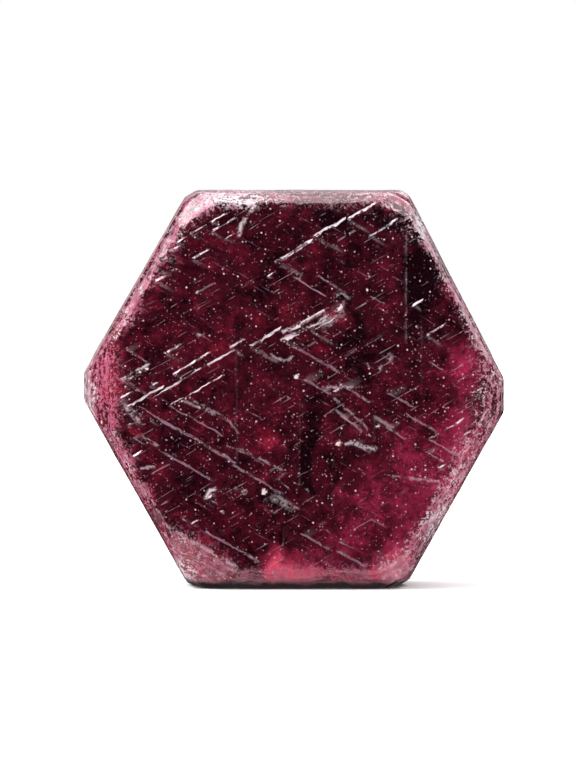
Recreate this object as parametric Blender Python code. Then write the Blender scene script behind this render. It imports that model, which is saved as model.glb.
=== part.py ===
"""A raw ruby crystal: one tabular, six-sided, slightly barrel-shaped piece of corundum.

The crystal stands on one of its six side faces, with its broad basal faces upright.  It is built as
nature built it: a stack of growth bands makes the six-sided barrel, triangular growth plates and
slivers of broken growth steps cover both broad faces, and a few pits and chips are taken out.

Units are metres and +Z is up.  The origin is under the middle of the crystal, on the surface that it
stands on.  -Y is the front broad face, and the crystal's own long axis (its c axis) runs along Y.
Sizes are given in millimetres at the top and turned into metres by MM.
"""

import math
import random
from collections import namedtuple

import bmesh
import bpy
from mathutils import Matrix, Vector

MM = 0.001

# ---- driving dimensions, in millimetres ---------------------------------------------------------

AXIS_HEIGHT = 17.8          # from the resting face up to the crystal's axis
FRONT = 10.4                # from the girth plane to the front broad face, under its plates
BACK = 10.3                 # from the girth plane to the back broad face, under its plates
BLANK = 60.0                # edge of the cube that each band is cut from
PLATE_ROOT = 1.0            # how deep a plate's root is sunk into the broad face
STEP_DIRECTION = 30.0       # degrees between a growth step and the horizontal
RISER_LEAN = 0.60           # how far a step's riser leans back, for each unit of its height
LEDGE_SLOPE = 0.09          # how gently a long ledge's top falls away behind its crest
LEDGE_REACH = 0.60          # how far a short ledge reaches behind its crest, for each unit of length
LEDGE_ROOT = 0.08           # how far a ledge's top dips under the broad face before it ends
CREST_INSET = 0.14          # how much of its length a ledge's crest stands in at each end
BAND_OVERLAP = 0.25         # how far one growth band runs on into the next
UNEVENNESS = (0.2, 1.8)     # the least and the most of its inset that a band's face stands in
MERGE = 0.0001              # points closer to a cutting plane than this lie on it

# A side face: its outward bearing in the XZ plane from +X, in degrees, its distance from the axis at
# the girth, how much it draws in towards the broad faces, and the width and depth of its bevels.
Side = namedtuple("Side", "bearing reach draw bevel_width bevel_depth")

SIDES = (
    Side(bearing=90.0, reach=17.75, draw=0.35, bevel_width=0.85, bevel_depth=1.5),
    Side(bearing=150.0, reach=17.10, draw=0.30, bevel_width=0.80, bevel_depth=1.4),
    Side(bearing=-150.6, reach=17.10, draw=0.45, bevel_width=0.85, bevel_depth=1.8),
    Side(bearing=-90.0, reach=18.30, draw=0.55, bevel_width=1.75, bevel_depth=2.3),
    Side(bearing=-29.4, reach=17.50, draw=0.50, bevel_width=1.25, bevel_depth=2.2),
    Side(bearing=27.4, reach=17.10, draw=0.30, bevel_width=0.45, bevel_depth=1.3),
)

# The worn corners between the side faces, given in the same way.
CORNERS = (
    Side(bearing=180.0, reach=18.95, draw=0.90, bevel_width=2.20, bevel_depth=2.6),
    Side(bearing=0.0, reach=18.85, draw=0.55, bevel_width=1.40, bevel_depth=2.2),
    Side(bearing=121.0, reach=19.75, draw=0.55, bevel_width=1.60, bevel_depth=1.9),
    Side(bearing=60.0, reach=20.15, draw=0.60, bevel_width=1.30, bevel_depth=1.6),
    Side(bearing=-120.0, reach=20.05, draw=0.90, bevel_width=2.65, bevel_depth=2.4),
    Side(bearing=-61.0, reach=20.15, draw=0.80, bevel_width=1.70, bevel_depth=2.0),
)

# A growth band: where it starts and ends along Y, and how far its faces stand inside the girth.
Band = namedtuple("Band", "name start end inset")

BANDS = (
    Band("front_band", start=-13.0, end=-7.3, inset=0.20),
    Band("shoulder_band", start=-7.3, end=-3.1, inset=0.06),
    Band("girth_band", start=-3.1, end=2.2, inset=0.0),
    Band("rear_girth_band", start=2.2, end=3.4, inset=0.24),
    Band("rear_shoulder_band", start=3.4, end=7.6, inset=0.08),
    Band("back_band", start=7.6, end=13.0, inset=0.30),
)

# A growth plate is a triangle whose tip points to -U: the tip, the distance from the tip to its
# upright edge, and its level above the broad face.  U and V are measured from the crystal's axis.
Plate = namedtuple("Plate", "u v span level")

FRONT_PLATES = (
    Plate(-14.27, -1.51, 9.24, 0.34),
    Plate(-11.57, -1.51, 5.40, 0.54),
    Plate(11.74, -4.44, 3.33, 0.22),
    Plate(14.03, -4.53, 2.48, 0.30),
)

BACK_PLATES = (
    Plate(-13.80, 3.20, 19.50, 0.30),
    Plate(-9.60, 4.10, 10.20, 0.48),
    Plate(-5.40, -7.30, 12.80, 0.22),
    Plate(-1.90, 9.80, 8.40, 0.37),
    Plate(-12.10, -3.90, 6.10, 0.18),
    Plate(3.30, -2.20, 7.10, 0.40),
    Plate(6.90, -6.40, 5.20, 0.51),
    Plate(-2.60, -11.90, 6.00, 0.35),
    Plate(7.60, 6.70, 4.10, 0.24),
)

# A ledge is a sliver of a broken growth step, which falls away gently behind its crest: where it
# starts, its length along the step, and how far its crest stands over the broad face.
Ledge = namedtuple("Ledge", "kind u v length rise")

RISING, FALLING, UPRIGHT = "rising", "falling", "upright"

FRONT_LEDGES = (
    Ledge(RISING, -1.85, 11.36, 4.20, 0.44),
    Ledge(RISING, 1.50, 13.56, 3.70, 0.40),
    Ledge(RISING, 4.40, 15.02, 3.60, 0.30),
    Ledge(RISING, 6.43, 13.61, 3.38, 0.22),
    Ledge(RISING, -12.56, 9.60, 2.68, 0.24),
    Ledge(RISING, -11.66, 10.10, 0.97, 0.17),
    Ledge(RISING, -9.41, 13.74, 1.82, 0.17),
    Ledge(RISING, -7.52, 14.91, 2.05, 0.17),
    Ledge(RISING, -7.61, 13.97, 2.98, 0.19),
    Ledge(RISING, -10.58, 13.07, 1.25, 0.16),
    Ledge(RISING, -11.39, 12.21, 1.51, 0.16),
    Ledge(RISING, -9.32, 11.58, 2.11, 0.19),
    Ledge(RISING, -6.26, 13.34, 1.35, 0.16),
    Ledge(RISING, -8.87, 8.57, 2.46, 0.11),
    Ledge(RISING, -2.48, 10.01, 0.70, 0.14),
    Ledge(RISING, -15.35, 0.74, 2.86, 0.42),
    Ledge(RISING, -10.90, 1.43, 4.20, 0.16),
    Ledge(RISING, -11.66, 3.21, 2.20, 0.19),
    Ledge(RISING, -5.95, 3.71, 1.94, 0.32),
    Ledge(RISING, -4.19, 3.80, 3.70, 0.40),
    Ledge(RISING, -0.82, 5.19, 4.07, 0.46),
    Ledge(RISING, -1.13, 4.38, 6.75, 0.53),
    Ledge(RISING, 0.94, 5.15, 3.83, 0.60),
    Ledge(RISING, -15.08, -1.60, 4.23, 0.36),
    Ledge(RISING, -15.57, -0.70, 1.28, 0.14),
    Ledge(RISING, -14.18, 0.11, 0.93, 0.18),
    Ledge(RISING, -12.93, 0.25, 0.94, 0.18),
    Ledge(RISING, -14.90, -3.27, 0.73, 0.14),
    Ledge(RISING, -14.45, -5.88, 1.23, 0.16),
    Ledge(RISING, -7.88, -9.61, 0.87, 0.22),
    Ledge(RISING, -9.23, -11.91, 0.83, 0.22),
    Ledge(RISING, 3.14, -0.25, 0.91, 0.36),
    Ledge(RISING, 10.30, 7.44, 1.27, 0.22),
    Ledge(RISING, 11.38, 4.74, 2.36, 0.24),
    Ledge(RISING, 15.52, -0.39, 1.45, 0.19),
    Ledge(RISING, 12.73, -6.96, 0.83, 0.16),
    Ledge(FALLING, -0.68, 10.19, 4.30, 0.18),
    Ledge(FALLING, 1.20, 10.37, 3.50, 0.22),
    Ledge(FALLING, 6.43, 8.30, 1.90, 0.15),
    Ledge(FALLING, -15.26, 3.62, 2.74, 0.29),
    Ledge(FALLING, -15.26, 0.56, 2.18, 0.17),
    Ledge(FALLING, -14.99, -2.05, 1.78, 0.19),
    Ledge(FALLING, -10.13, -0.88, 5.77, 0.49),
    Ledge(FALLING, -8.96, -1.06, 3.83, 0.55),
    Ledge(FALLING, -6.40, -4.70, 5.60, 0.34),
    Ledge(FALLING, -6.17, -6.46, 6.96, 0.40),
    Ledge(FALLING, 0.45, 1.00, 3.40, 0.36),
    Ledge(FALLING, -2.57, -7.81, 2.82, 0.39),
    Ledge(FALLING, -2.21, -9.16, 3.28, 0.26),
    Ledge(FALLING, -9.14, -4.03, 2.15, 0.37),
    Ledge(FALLING, -14.60, -4.26, 1.62, 0.20),
    Ledge(FALLING, -13.46, -4.26, 1.47, 0.16),
    Ledge(FALLING, -12.29, -5.34, 6.10, 0.36),
    Ledge(FALLING, -7.79, -9.67, 1.39, 0.19),
    Ledge(FALLING, -6.71, -10.92, 0.73, 0.14),
    Ledge(FALLING, -10.27, -11.41, 0.97, 0.16),
    Ledge(FALLING, -8.96, -12.13, 7.10, 0.38),
    Ledge(FALLING, -11.98, -12.09, 8.04, 0.19),
    Ledge(FALLING, -1.22, 4.34, 6.22, 0.52),
    Ledge(FALLING, 1.66, 5.24, 2.42, 0.66),
    Ledge(FALLING, 3.82, 0.42, 3.52, 0.37),
    Ledge(FALLING, 3.84, -2.31, 2.75, 0.29),
    Ledge(FALLING, 7.87, -0.12, 3.61, 0.36),
    Ledge(FALLING, 9.40, -2.05, 5.60, 0.34),
    Ledge(FALLING, 7.82, -3.36, 2.56, 0.28),
    Ledge(FALLING, 11.38, -5.43, 2.36, 0.28),
    Ledge(FALLING, 11.65, 2.45, 1.89, 0.17),
    Ledge(FALLING, 6.48, -11.41, 2.01, 0.17),
    Ledge(FALLING, 0.22, -12.76, 3.51, 0.34),
    Ledge(FALLING, 3.37, -14.20, 3.66, 0.31),
    Ledge(FALLING, 1.66, -12.04, 1.85, 0.22),
    Ledge(FALLING, 3.37, -13.26, 3.24, 0.27),
    Ledge(FALLING, 4.99, -4.75, 2.26, 0.24),
    Ledge(UPRIGHT, 0.55, -10.20, 10.20, 0.28),
    Ledge(UPRIGHT, 11.33, -1.15, 7.56, 0.23),
    Ledge(UPRIGHT, 11.38, -8.89, 2.88, 0.14),
    Ledge(UPRIGHT, 7.12, -5.30, 3.80, 0.25),
    Ledge(UPRIGHT, 3.46, -11.68, 6.03, 0.20),
    Ledge(UPRIGHT, -0.91, -15.55, 3.60, 0.20),
)

BACK_LEDGES = (
    Ledge(RISING, -12.30, 8.10, 5.20, 0.26),
    Ledge(RISING, -6.20, 10.20, 6.40, 0.22),
    Ledge(RISING, 4.80, 10.40, 4.60, 0.24),
    Ledge(RISING, -2.40, 1.40, 5.80, 0.62),
    Ledge(RISING, 8.60, -1.20, 4.20, 0.58),
    Ledge(FALLING, -14.90, -1.30, 3.60, 0.29),
    Ledge(FALLING, -9.80, -9.90, 6.20, 0.27),
    Ledge(FALLING, -4.20, -3.10, 4.80, 0.53),
    Ledge(FALLING, 5.30, -11.20, 4.60, 0.36),
    Ledge(FALLING, 9.40, 4.90, 5.00, 0.32),
    Ledge(UPRIGHT, 5.80, -3.80, 9.20, 0.45),
    Ledge(UPRIGHT, -7.90, -13.20, 5.10, 0.24),
)

# A pit is a small many-sided hollow in a broad face: its place, its radius and its depth.
Pit = namedtuple("Pit", "u v radius depth")

FRONT_PITS = (
    Pit(-13.24, -2.68, 0.40, 0.31),
    Pit(-2.05, -10.25, 0.80, 0.34),
    Pit(4.05, 8.15, 0.62, 0.30),
    Pit(-11.35, 10.85, 0.75, 0.26),
    Pit(7.35, -14.75, 0.38, 0.28),
)

BACK_PITS = (
    Pit(-4.60, 6.90, 0.90, 0.34),
    Pit(2.10, -8.20, 0.70, 0.30),
    Pit(10.90, 1.80, 0.55, 0.26),
)

# A chip is a corner knocked off by a plane: a point on the broken surface, in X, Y and height above
# the resting face, and the way that the surface faces.
Chip = namedtuple("Chip", "place facing")

CHIPS = (
    Chip(place=(-11.9, 8.6, 30.9), facing=(-0.62, 0.60, 0.50)),
    Chip(place=(15.9, 7.7, 11.6), facing=(0.66, 0.70, -0.26)),
    Chip(place=(4.6, 9.2, 34.4), facing=(0.14, 0.60, 0.79)),
    Chip(place=(-15.6, 8.3, 13.0), facing=(-0.72, 0.62, -0.32)),
)

RUBY = (0.16, 0.012, 0.035, 1.0)    # the stone's colour
POLISH = 0.28                       # the broad faces' roughness
REFRACTION = 1.76                   # corundum's index of refraction


# ---- scene ---------------------------------------------------------------------------------------

def clear_scene():
    """Remove every object that is in the scene."""
    for item in list(bpy.data.objects):
        bpy.data.objects.remove(item, do_unlink=True)


def new_collection(name):
    """Add an empty collection to the scene."""
    collection = bpy.data.collections.new(name)
    bpy.context.scene.collection.children.link(collection)
    return collection


def add_object(name, shape, collection, is_cutter=False):
    """Turn a bmesh in millimetres into an object in metres, in a collection.

    A cutter is drawn as a wire and never rendered.
    """
    shape.normal_update()
    bmesh.ops.recalc_face_normals(shape, faces=shape.faces)
    bmesh.ops.scale(shape, verts=shape.verts, vec=(MM, MM, MM))
    mesh = bpy.data.meshes.new(name)
    shape.to_mesh(mesh)
    shape.free()
    item = bpy.data.objects.new(name, mesh)
    collection.objects.link(item)
    if is_cutter:
        item.hide_render = True
        item.display_type = "WIRE"
    return item


def ruby_material():
    """The crystal's own material: deep red, fairly glossy, and clear in part."""
    material = bpy.data.materials.new("ruby")
    material.use_nodes = True
    surface = material.node_tree.nodes["Principled BSDF"]
    surface.inputs["Base Color"].default_value = RUBY
    surface.inputs["Roughness"].default_value = POLISH
    surface.inputs["IOR"].default_value = REFRACTION
    surface.inputs["Metallic"].default_value = 0.0
    surface.inputs["Transmission Weight"].default_value = 0.35
    material.diffuse_color = RUBY
    return material


# ---- cutting planes ------------------------------------------------------------------------------

def cut_flat(shape, point, facing):
    """Cut away what lies beyond a plane, and close the cut with one flat face."""
    everything = shape.verts[:] + shape.edges[:] + shape.faces[:]
    cut = bmesh.ops.bisect_plane(shape, geom=everything, dist=MERGE, plane_co=point,
                                 plane_no=facing, clear_outer=True)
    rim = [part for part in cut["geom_cut"] if isinstance(part, bmesh.types.BMEdge)]
    if rim:
        bmesh.ops.contextual_create(shape, geom=rim)


def side_plane(side, inset, depth, facing_y):
    """A point and a normal for a side face that draws in towards one broad face.

    The plane stands `inset` inside the girth.  Over `depth` along Y it draws in by the side's draw.
    """
    bearing = math.radians(side.bearing)
    outward = Vector((math.cos(bearing), 0.0, math.sin(bearing)))
    axis_point = Vector((0.0, 0.0, AXIS_HEIGHT))
    point = axis_point + outward * (side.reach - inset)
    normal = outward + Vector((0.0, facing_y * side.draw / depth, 0.0))
    return point, normal.normalized()


def bevel_plane(side, inset, face_distance, facing_y):
    """A point and a normal for the bevel between a side face and one broad face."""
    bearing = math.radians(side.bearing)
    outward = Vector((math.cos(bearing), 0.0, math.sin(bearing)))
    inner = side.reach - inset - side.draw - side.bevel_width
    point = Vector((0.0, facing_y * face_distance, AXIS_HEIGHT)) + outward * inner
    normal = outward * side.bevel_depth + Vector((0.0, facing_y * side.bevel_width, 0.0))
    return point, normal.normalized()


def band_shape(band):
    """One growth band: a cube cut down to its length along Y and to its side faces and corners.

    Each side face of a band stands in by an amount of its own, so that the ledges between the bands
    come and go around the crystal.
    """
    uneven = random.Random(band.name)
    shape = bmesh.new()
    bmesh.ops.create_cube(shape, size=BLANK)
    bmesh.ops.translate(shape, verts=shape.verts, vec=(0.0, 0.0, AXIS_HEIGHT))
    start = band.start - BAND_OVERLAP / 2
    end = band.end + BAND_OVERLAP / 2
    cut_flat(shape, (0.0, start, 0.0), (0.0, -1.0, 0.0))
    cut_flat(shape, (0.0, end, 0.0), (0.0, 1.0, 0.0))
    cut_flat(shape, (0.0, 0.0, 0.0), (0.0, 0.0, -1.0))
    for side in SIDES + CORNERS:
        inset = band.inset * uneven.uniform(*UNEVENNESS)
        for facing_y, distance in ((-1.0, FRONT), (1.0, BACK)):
            cut_flat(shape, *side_plane(side, inset, distance, facing_y))
            cut_flat(shape, *bevel_plane(side, 0.0, distance, facing_y))
    return shape


# ---- broad faces ---------------------------------------------------------------------------------

def face_frame(facing_y):
    """The matrix from (U, V, level) on a broad face to the crystal's own frame.

    On the front, U is +X.  On the back, U is -X, so that a plate's tip points the other way, as the
    symmetry of corundum has it.
    """
    distance = FRONT if facing_y < 0 else BACK
    return Matrix((
        (-facing_y, 0.0, 0.0, 0.0),
        (0.0, 0.0, facing_y, facing_y * distance),
        (0.0, 1.0, 0.0, AXIS_HEIGHT),
        (0.0, 0.0, 0.0, 1.0),
    ))


def plate_shape(plate, facing_y):
    """A triangular plate with leaning edges, sunk into the broad face."""
    shape = bmesh.new()
    radius = plate.span / 1.5
    thickness = plate.level + PLATE_ROOT
    centre = Vector((plate.u + radius, plate.v, plate.level - thickness / 2))
    tip_to_left = Matrix.Rotation(math.radians(90.0), 4, "Z")
    bmesh.ops.create_cone(shape, cap_ends=True, segments=3, depth=thickness,
                          radius1=radius + 2 * RISER_LEAN * PLATE_ROOT,
                          radius2=radius - 2 * RISER_LEAN * plate.level,
                          matrix=Matrix.Translation(centre) @ tip_to_left)
    shape.transform(face_frame(facing_y))
    return shape


def ledge_shape(ledge, facing_y):
    """A wedge with one sharp crest along a growth step, falling away behind it.

    Its ends follow the other step directions, so that it narrows behind its crest.
    """
    angle = {RISING: STEP_DIRECTION, FALLING: -STEP_DIRECTION, UPRIGHT: 90.0}[ledge.kind]
    behind = -1.0 if ledge.kind == RISING else 1.0
    narrowing = math.tan(math.radians(STEP_DIRECTION))
    shape = bmesh.new()
    bmesh.ops.create_cube(shape, size=1.0)
    for vert in shape.verts:
        is_top, is_behind, is_far = (value > 0 for value in (vert.co.z, vert.co.y, vert.co.x))
        across = RISER_LEAN * (ledge.rise if is_top else -PLATE_ROOT)
        level = ledge.rise if is_top else -PLATE_ROOT
        if is_behind:
            across = min((ledge.rise + LEDGE_ROOT) / LEDGE_SLOPE, LEDGE_REACH * ledge.length)
            level = -LEDGE_ROOT if is_top else -PLATE_ROOT
        taken = max(across, 0.0) * narrowing
        if is_top and not is_behind:
            taken += CREST_INSET * ledge.length
        along = ledge.length - taken if is_far else taken
        vert.co = Vector((along, behind * across, level))
    place = Matrix.Translation((ledge.u, ledge.v, 0.0)) @ Matrix.Rotation(math.radians(angle), 4, "Z")
    shape.transform(face_frame(facing_y) @ place)
    return shape


def pit_shape(pit, facing_y):
    """A five-sided hollow that narrows downwards, reaching up through every plate over it."""
    shape = bmesh.new()
    above = 1.5
    depth = pit.depth + above
    bmesh.ops.create_cone(shape, cap_ends=True, segments=5, radius1=pit.radius * 0.45,
                          radius2=pit.radius * (1.0 + above), depth=depth,
                          matrix=Matrix.Translation((pit.u, pit.v, (above - pit.depth) / 2)))
    shape.transform(face_frame(facing_y))
    return shape


def chip_shape(chip):
    """A block whose one face lies on the broken surface, wide enough to reach past the crystal."""
    shape = bmesh.new()
    bmesh.ops.create_cube(shape, size=BLANK)
    facing = Vector(chip.facing).normalized()
    middle = Vector(chip.place) + facing * BLANK / 2
    shape.transform(Matrix.Translation(middle) @ facing.to_track_quat("Z", "Y").to_matrix().to_4x4())
    return shape


def slab_shape():
    """The broad slab between the two broad faces, wider than the crystal."""
    shape = bmesh.new()
    bmesh.ops.create_cube(shape, size=1.0)
    bmesh.ops.scale(shape, verts=shape.verts, vec=(BLANK, FRONT + BACK, BLANK))
    bmesh.ops.translate(shape, verts=shape.verts, vec=(0.0, (BACK - FRONT) / 2, AXIS_HEIGHT))
    return shape


# ---- assembly ------------------------------------------------------------------------------------

def add_boolean(item, name, operation, collection=None, other=None):
    """Give an object an exact Boolean with a collection or with one object."""
    boolean = item.modifiers.new(name, "BOOLEAN")
    boolean.operation = operation
    boolean.solver = "EXACT"
    if collection:
        boolean.operand_type = "COLLECTION"
        boolean.collection = collection
    else:
        boolean.object = other


def build_terraces(cutters):
    """The broad slab with every plate and ledge of both broad faces grown onto it."""
    steps = new_collection("growth_steps")
    for facing_y, plates, ledges in ((-1.0, FRONT_PLATES, FRONT_LEDGES), (1.0, BACK_PLATES, BACK_LEDGES)):
        side = "front" if facing_y < 0 else "back"
        for number, plate in enumerate(plates):
            add_object(f"{side}_plate_{number}", plate_shape(plate, facing_y), steps, is_cutter=True)
        for number, ledge in enumerate(ledges):
            add_object(f"{side}_ledge_{number}", ledge_shape(ledge, facing_y), steps, is_cutter=True)
    slab = add_object("terraced_slab", slab_shape(), cutters, is_cutter=True)
    add_boolean(slab, "grow_steps", "UNION", collection=steps)
    return slab


def build_hollows():
    """The collection of pits and chips that are taken out of the crystal."""
    hollows = new_collection("hollows")
    for facing_y, pits in ((-1.0, FRONT_PITS), (1.0, BACK_PITS)):
        for number, pit in enumerate(pits):
            side = "front" if facing_y < 0 else "back"
            add_object(f"{side}_pit_{number}", pit_shape(pit, facing_y), hollows, is_cutter=True)
    for number, chip in enumerate(CHIPS):
        add_object(f"chip_{number}", chip_shape(chip), hollows, is_cutter=True)
    return hollows


def build_crystal():
    """The whole crystal, as one object of its own collection."""
    crystal_collection = new_collection("raw_ruby_crystal")
    cutters = new_collection("cutters")
    bands = new_collection("growth_bands")
    for band in BANDS[1:]:
        add_object(band.name, band_shape(band), bands, is_cutter=True)
    crystal = add_object("ruby_crystal", band_shape(BANDS[0]), crystal_collection)
    add_boolean(crystal, "join_bands", "UNION", collection=bands)
    add_boolean(crystal, "terrace", "INTERSECT", other=build_terraces(cutters))
    add_boolean(crystal, "hollow_out", "DIFFERENCE", collection=build_hollows())
    crystal.data.materials.append(ruby_material())
    return crystal


if __name__ == "__main__":
    clear_scene()
    build_crystal()
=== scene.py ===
"""A raw ruby crystal, dressed for its portrait.

One thick, six-sided, barrel-shaped tablet of corundum stands on one of its side faces.  Both broad
faces carry triangular growth plates and slivers of broken growth steps, the edges are worn to frosted
bevels, and the side faces show the ledges between the bands that the crystal grew in.

Sizes are in millimetres and become metres only when the mesh is written.  The crystal's axis runs
along Y, the front broad face looks along -Y, and the crystal rests on the plane z = 0.
"""

import logging
import math
import random
from dataclasses import dataclass, field
from enum import Enum

import bpy
import numpy as np
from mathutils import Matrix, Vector, kdtree
from mathutils.geometry import delaunay_2d_cdt


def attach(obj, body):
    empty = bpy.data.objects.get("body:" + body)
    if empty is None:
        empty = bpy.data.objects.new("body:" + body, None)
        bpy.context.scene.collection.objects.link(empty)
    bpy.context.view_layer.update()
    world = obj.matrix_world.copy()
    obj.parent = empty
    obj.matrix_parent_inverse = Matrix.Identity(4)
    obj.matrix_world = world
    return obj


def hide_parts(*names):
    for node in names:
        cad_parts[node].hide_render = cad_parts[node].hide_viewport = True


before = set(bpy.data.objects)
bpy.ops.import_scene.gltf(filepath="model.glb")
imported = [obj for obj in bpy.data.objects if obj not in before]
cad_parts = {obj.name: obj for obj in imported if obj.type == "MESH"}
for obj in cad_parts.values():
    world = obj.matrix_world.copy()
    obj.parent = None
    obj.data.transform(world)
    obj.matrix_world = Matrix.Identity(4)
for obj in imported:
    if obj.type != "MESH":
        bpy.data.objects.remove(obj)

LOG = logging.getLogger("ruby")

MM = 0.001
AXIS_HEIGHT = 17.8              # from the resting face up to the crystal's axis
FRONT = 10.4                    # from the girth plane to the front broad face, under its plates
BACK = 10.3                     # from the girth plane to the back broad face, under its plates
STEP_ANGLE = math.radians(30.0)  # between a growth step and the horizontal
LEDGE_SLOPE = 0.09              # how gently a ledge's top falls away behind its crest
SEAM = 0.9                      # how far under a broad face its mesh joins the side mesh
GLOW_REACH = 1.35               # where a glow ends, in parts of its half width
GLOW_FADE = 1.1                 # over how much of it a glow fades, in the same parts
WANDER_COARSE = (0.55, 1.7)     # how far the edges of the glows wander, and in lumps how wide
WANDER_FINE = (0.25, 0.6)       # the same for the finer wander on top
SHARP_ANGLE = math.radians(28.0)    # edges sharper than this are shaded sharp
UPRIGHT_REFLECTION_PAINT = 0.16         # how much painted dull reflection the slope of an upright step gets
UNEVENNESS = (0.2, 1.8)         # the least and the most of its inset that a band's face stands in


class StepKind(Enum):
    """The three directions that a growth step can run in."""

    RISING = "rising"
    FALLING = "falling"
    UPRIGHT = "upright"

    @property
    def along(self) -> np.ndarray:
        """The unit vector along the step, in the broad face."""
        angle = {StepKind.RISING: STEP_ANGLE, StepKind.FALLING: -STEP_ANGLE,
                 StepKind.UPRIGHT: math.pi / 2}[self]
        return np.array((math.cos(angle), math.sin(angle)))

    @property
    def behind(self) -> np.ndarray:
        """The unit vector from the step's foot towards its high side."""
        across = self.along
        turned = np.array((-across[1], across[0]))
        return -turned if self is StepKind.RISING else turned


@dataclass(frozen=True)
class Side:
    """A side face or a worn corner of the barrel, with its bevels.

    Attributes:
        bearing: The way it faces in the XZ plane, from +X, in degrees.
        reach: Its distance from the axis at the girth.
        draw: How much it draws in towards a broad face.
        bevel_width: The width of its bevels, across the axis.
        bevel_depth: The depth of its bevels, along the axis.
        frost: How frosted its bevels are, from 0 to 1.
        blush: How red that frost is, from 0 to 1.
    """

    bearing: float
    reach: float
    draw: float
    bevel_width: float
    bevel_depth: float
    frost: float
    blush: float

    @property
    def inner(self) -> float:
        """The distance from the axis of the bevel's inner edge, on the broad face."""
        return self.reach - self.draw - self.bevel_width


@dataclass(frozen=True)
class Band:
    """A growth band: where it starts and ends along Y, and how far it stands inside the girth."""

    name: str
    start: float
    end: float
    inset: float


@dataclass(frozen=True)
class Plate:
    """A triangular growth plate.

    Attributes:
        u: The tip's place across the broad face, from the axis.
        v: The tip's place up the broad face, from the axis.
        span: The distance from the tip to the upright edge.
        level: The height of its top over the broad face.
    """

    u: float
    v: float
    span: float
    level: float


@dataclass(frozen=True)
class Ledge:
    """A sliver of a broken growth step, which falls away gently behind its crest.

    Attributes:
        kind: The direction that it runs in.
        u: The start's place across the broad face.
        v: The start's place up the broad face.
        length: Its length along the step.
        rise: The height of its crest over the broad face.
    """

    kind: StepKind
    u: float
    v: float
    length: float
    rise: float


@dataclass(frozen=True)
class Pit:
    """A small hollow in a broad face: its place, radius and depth."""

    u: float
    v: float
    radius: float
    depth: float


class Matter(Enum):
    """What a crack, a spot or a painted glint line in a broad face is made of; the frost also serves for the
    painted glint lines.
    """

    FROST = "frost"
    OCHRE = "ochre"


@dataclass(frozen=True)
class VeinAndGlint:
    """A frosty crack, seam or spot in a broad face, a spot having a single point; many are painted lines of
    highlight and reflection along growth steps.

    Attributes:
        matter: What it is made of.
        chain: The points that it runs through, in the broad face.
        width: Its half width.
        strength: How strongly it covers the stone, from 0 to 1.
    """

    matter: Matter
    chain: tuple[tuple[float, float], ...]
    width: float
    strength: float

    def cover(self, u: np.ndarray, v: np.ndarray) -> np.ndarray:
        """How strongly it covers points of the broad face."""
        places = np.column_stack((u, v))
        nearest = np.full(len(places), 99.0)
        corners = np.array(self.chain)
        for start, end in zip(corners, np.concatenate((corners[1:], corners[-1:]))):
            run = end - start
            part = np.clip((places - start) @ run / max(run @ run, 1e-9), 0.0, 1.0)
            nearest = np.minimum(nearest, np.linalg.norm(places - start - np.outer(part, run), axis=1))
        return self.strength * np.clip(1.5 - nearest / self.width, 0.0, 1.0)


@dataclass(frozen=True)
class Chip:
    """A corner knocked off by a plane: a point on the break, and the way that the break faces."""

    place: tuple[float, float, float]
    facing: tuple[float, float, float]


SIDES = (
    Side(bearing=90.0, reach=17.75, draw=0.35, bevel_width=0.85, bevel_depth=1.5, frost=0.34, blush=0.45),
    Side(bearing=150.0, reach=17.10, draw=0.30, bevel_width=0.80, bevel_depth=1.4, frost=0.62, blush=0.66),
    Side(bearing=-150.6, reach=17.10, draw=0.45, bevel_width=0.85, bevel_depth=1.8, frost=0.42, blush=0.7),
    Side(bearing=-90.0, reach=18.30, draw=0.55, bevel_width=1.75, bevel_depth=2.3, frost=0.26, blush=1.0),
    Side(bearing=-29.4, reach=17.50, draw=0.50, bevel_width=1.25, bevel_depth=2.2, frost=0.52, blush=0.55),
    Side(bearing=27.4, reach=17.10, draw=0.30, bevel_width=0.45, bevel_depth=1.3, frost=0.62, blush=0.5),
)

CORNERS = (
    Side(bearing=180.0, reach=18.95, draw=0.90, bevel_width=2.20, bevel_depth=2.6, frost=0.36, blush=0.85),
    Side(bearing=0.0, reach=18.85, draw=0.55, bevel_width=1.40, bevel_depth=2.2, frost=0.45, blush=0.55),
    Side(bearing=121.0, reach=19.75, draw=0.55, bevel_width=1.60, bevel_depth=1.9, frost=0.42, blush=0.62),
    Side(bearing=60.0, reach=20.15, draw=0.60, bevel_width=1.30, bevel_depth=1.6, frost=0.52, blush=0.50),
    Side(bearing=-120.0, reach=20.05, draw=0.90, bevel_width=2.65, bevel_depth=2.4, frost=0.22, blush=0.6),
    Side(bearing=-61.0, reach=20.15, draw=0.80, bevel_width=1.70, bevel_depth=2.0, frost=0.52, blush=0.5),
)

BANDS = (
    Band("front_band", start=-13.0, end=-7.3, inset=0.20),
    Band("shoulder_band", start=-7.3, end=-3.1, inset=0.06),
    Band("girth_band", start=-3.1, end=2.2, inset=0.0),
    Band("rear_girth_band", start=2.2, end=3.4, inset=0.24),
    Band("rear_shoulder_band", start=3.4, end=7.6, inset=0.08),
    Band("back_band", start=7.6, end=13.0, inset=0.30),
)

CHIPS = (
    Chip(place=(-11.9, 8.6, 30.9), facing=(-0.62, 0.60, 0.50)),
    Chip(place=(15.9, 7.7, 11.6), facing=(0.66, 0.70, -0.26)),
    Chip(place=(4.6, 9.2, 34.4), facing=(0.14, 0.60, 0.79)),
    Chip(place=(-15.6, 8.3, 13.0), facing=(-0.72, 0.62, -0.32)),
)

FRONT_PLATES = (
    Plate(-14.27, -1.51, 9.24, 0.34),
    Plate(-11.57, -1.51, 5.40, 0.54),
    Plate(11.74, -4.44, 3.33, 0.22),
    Plate(14.03, -4.53, 2.48, 0.30),
)

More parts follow.
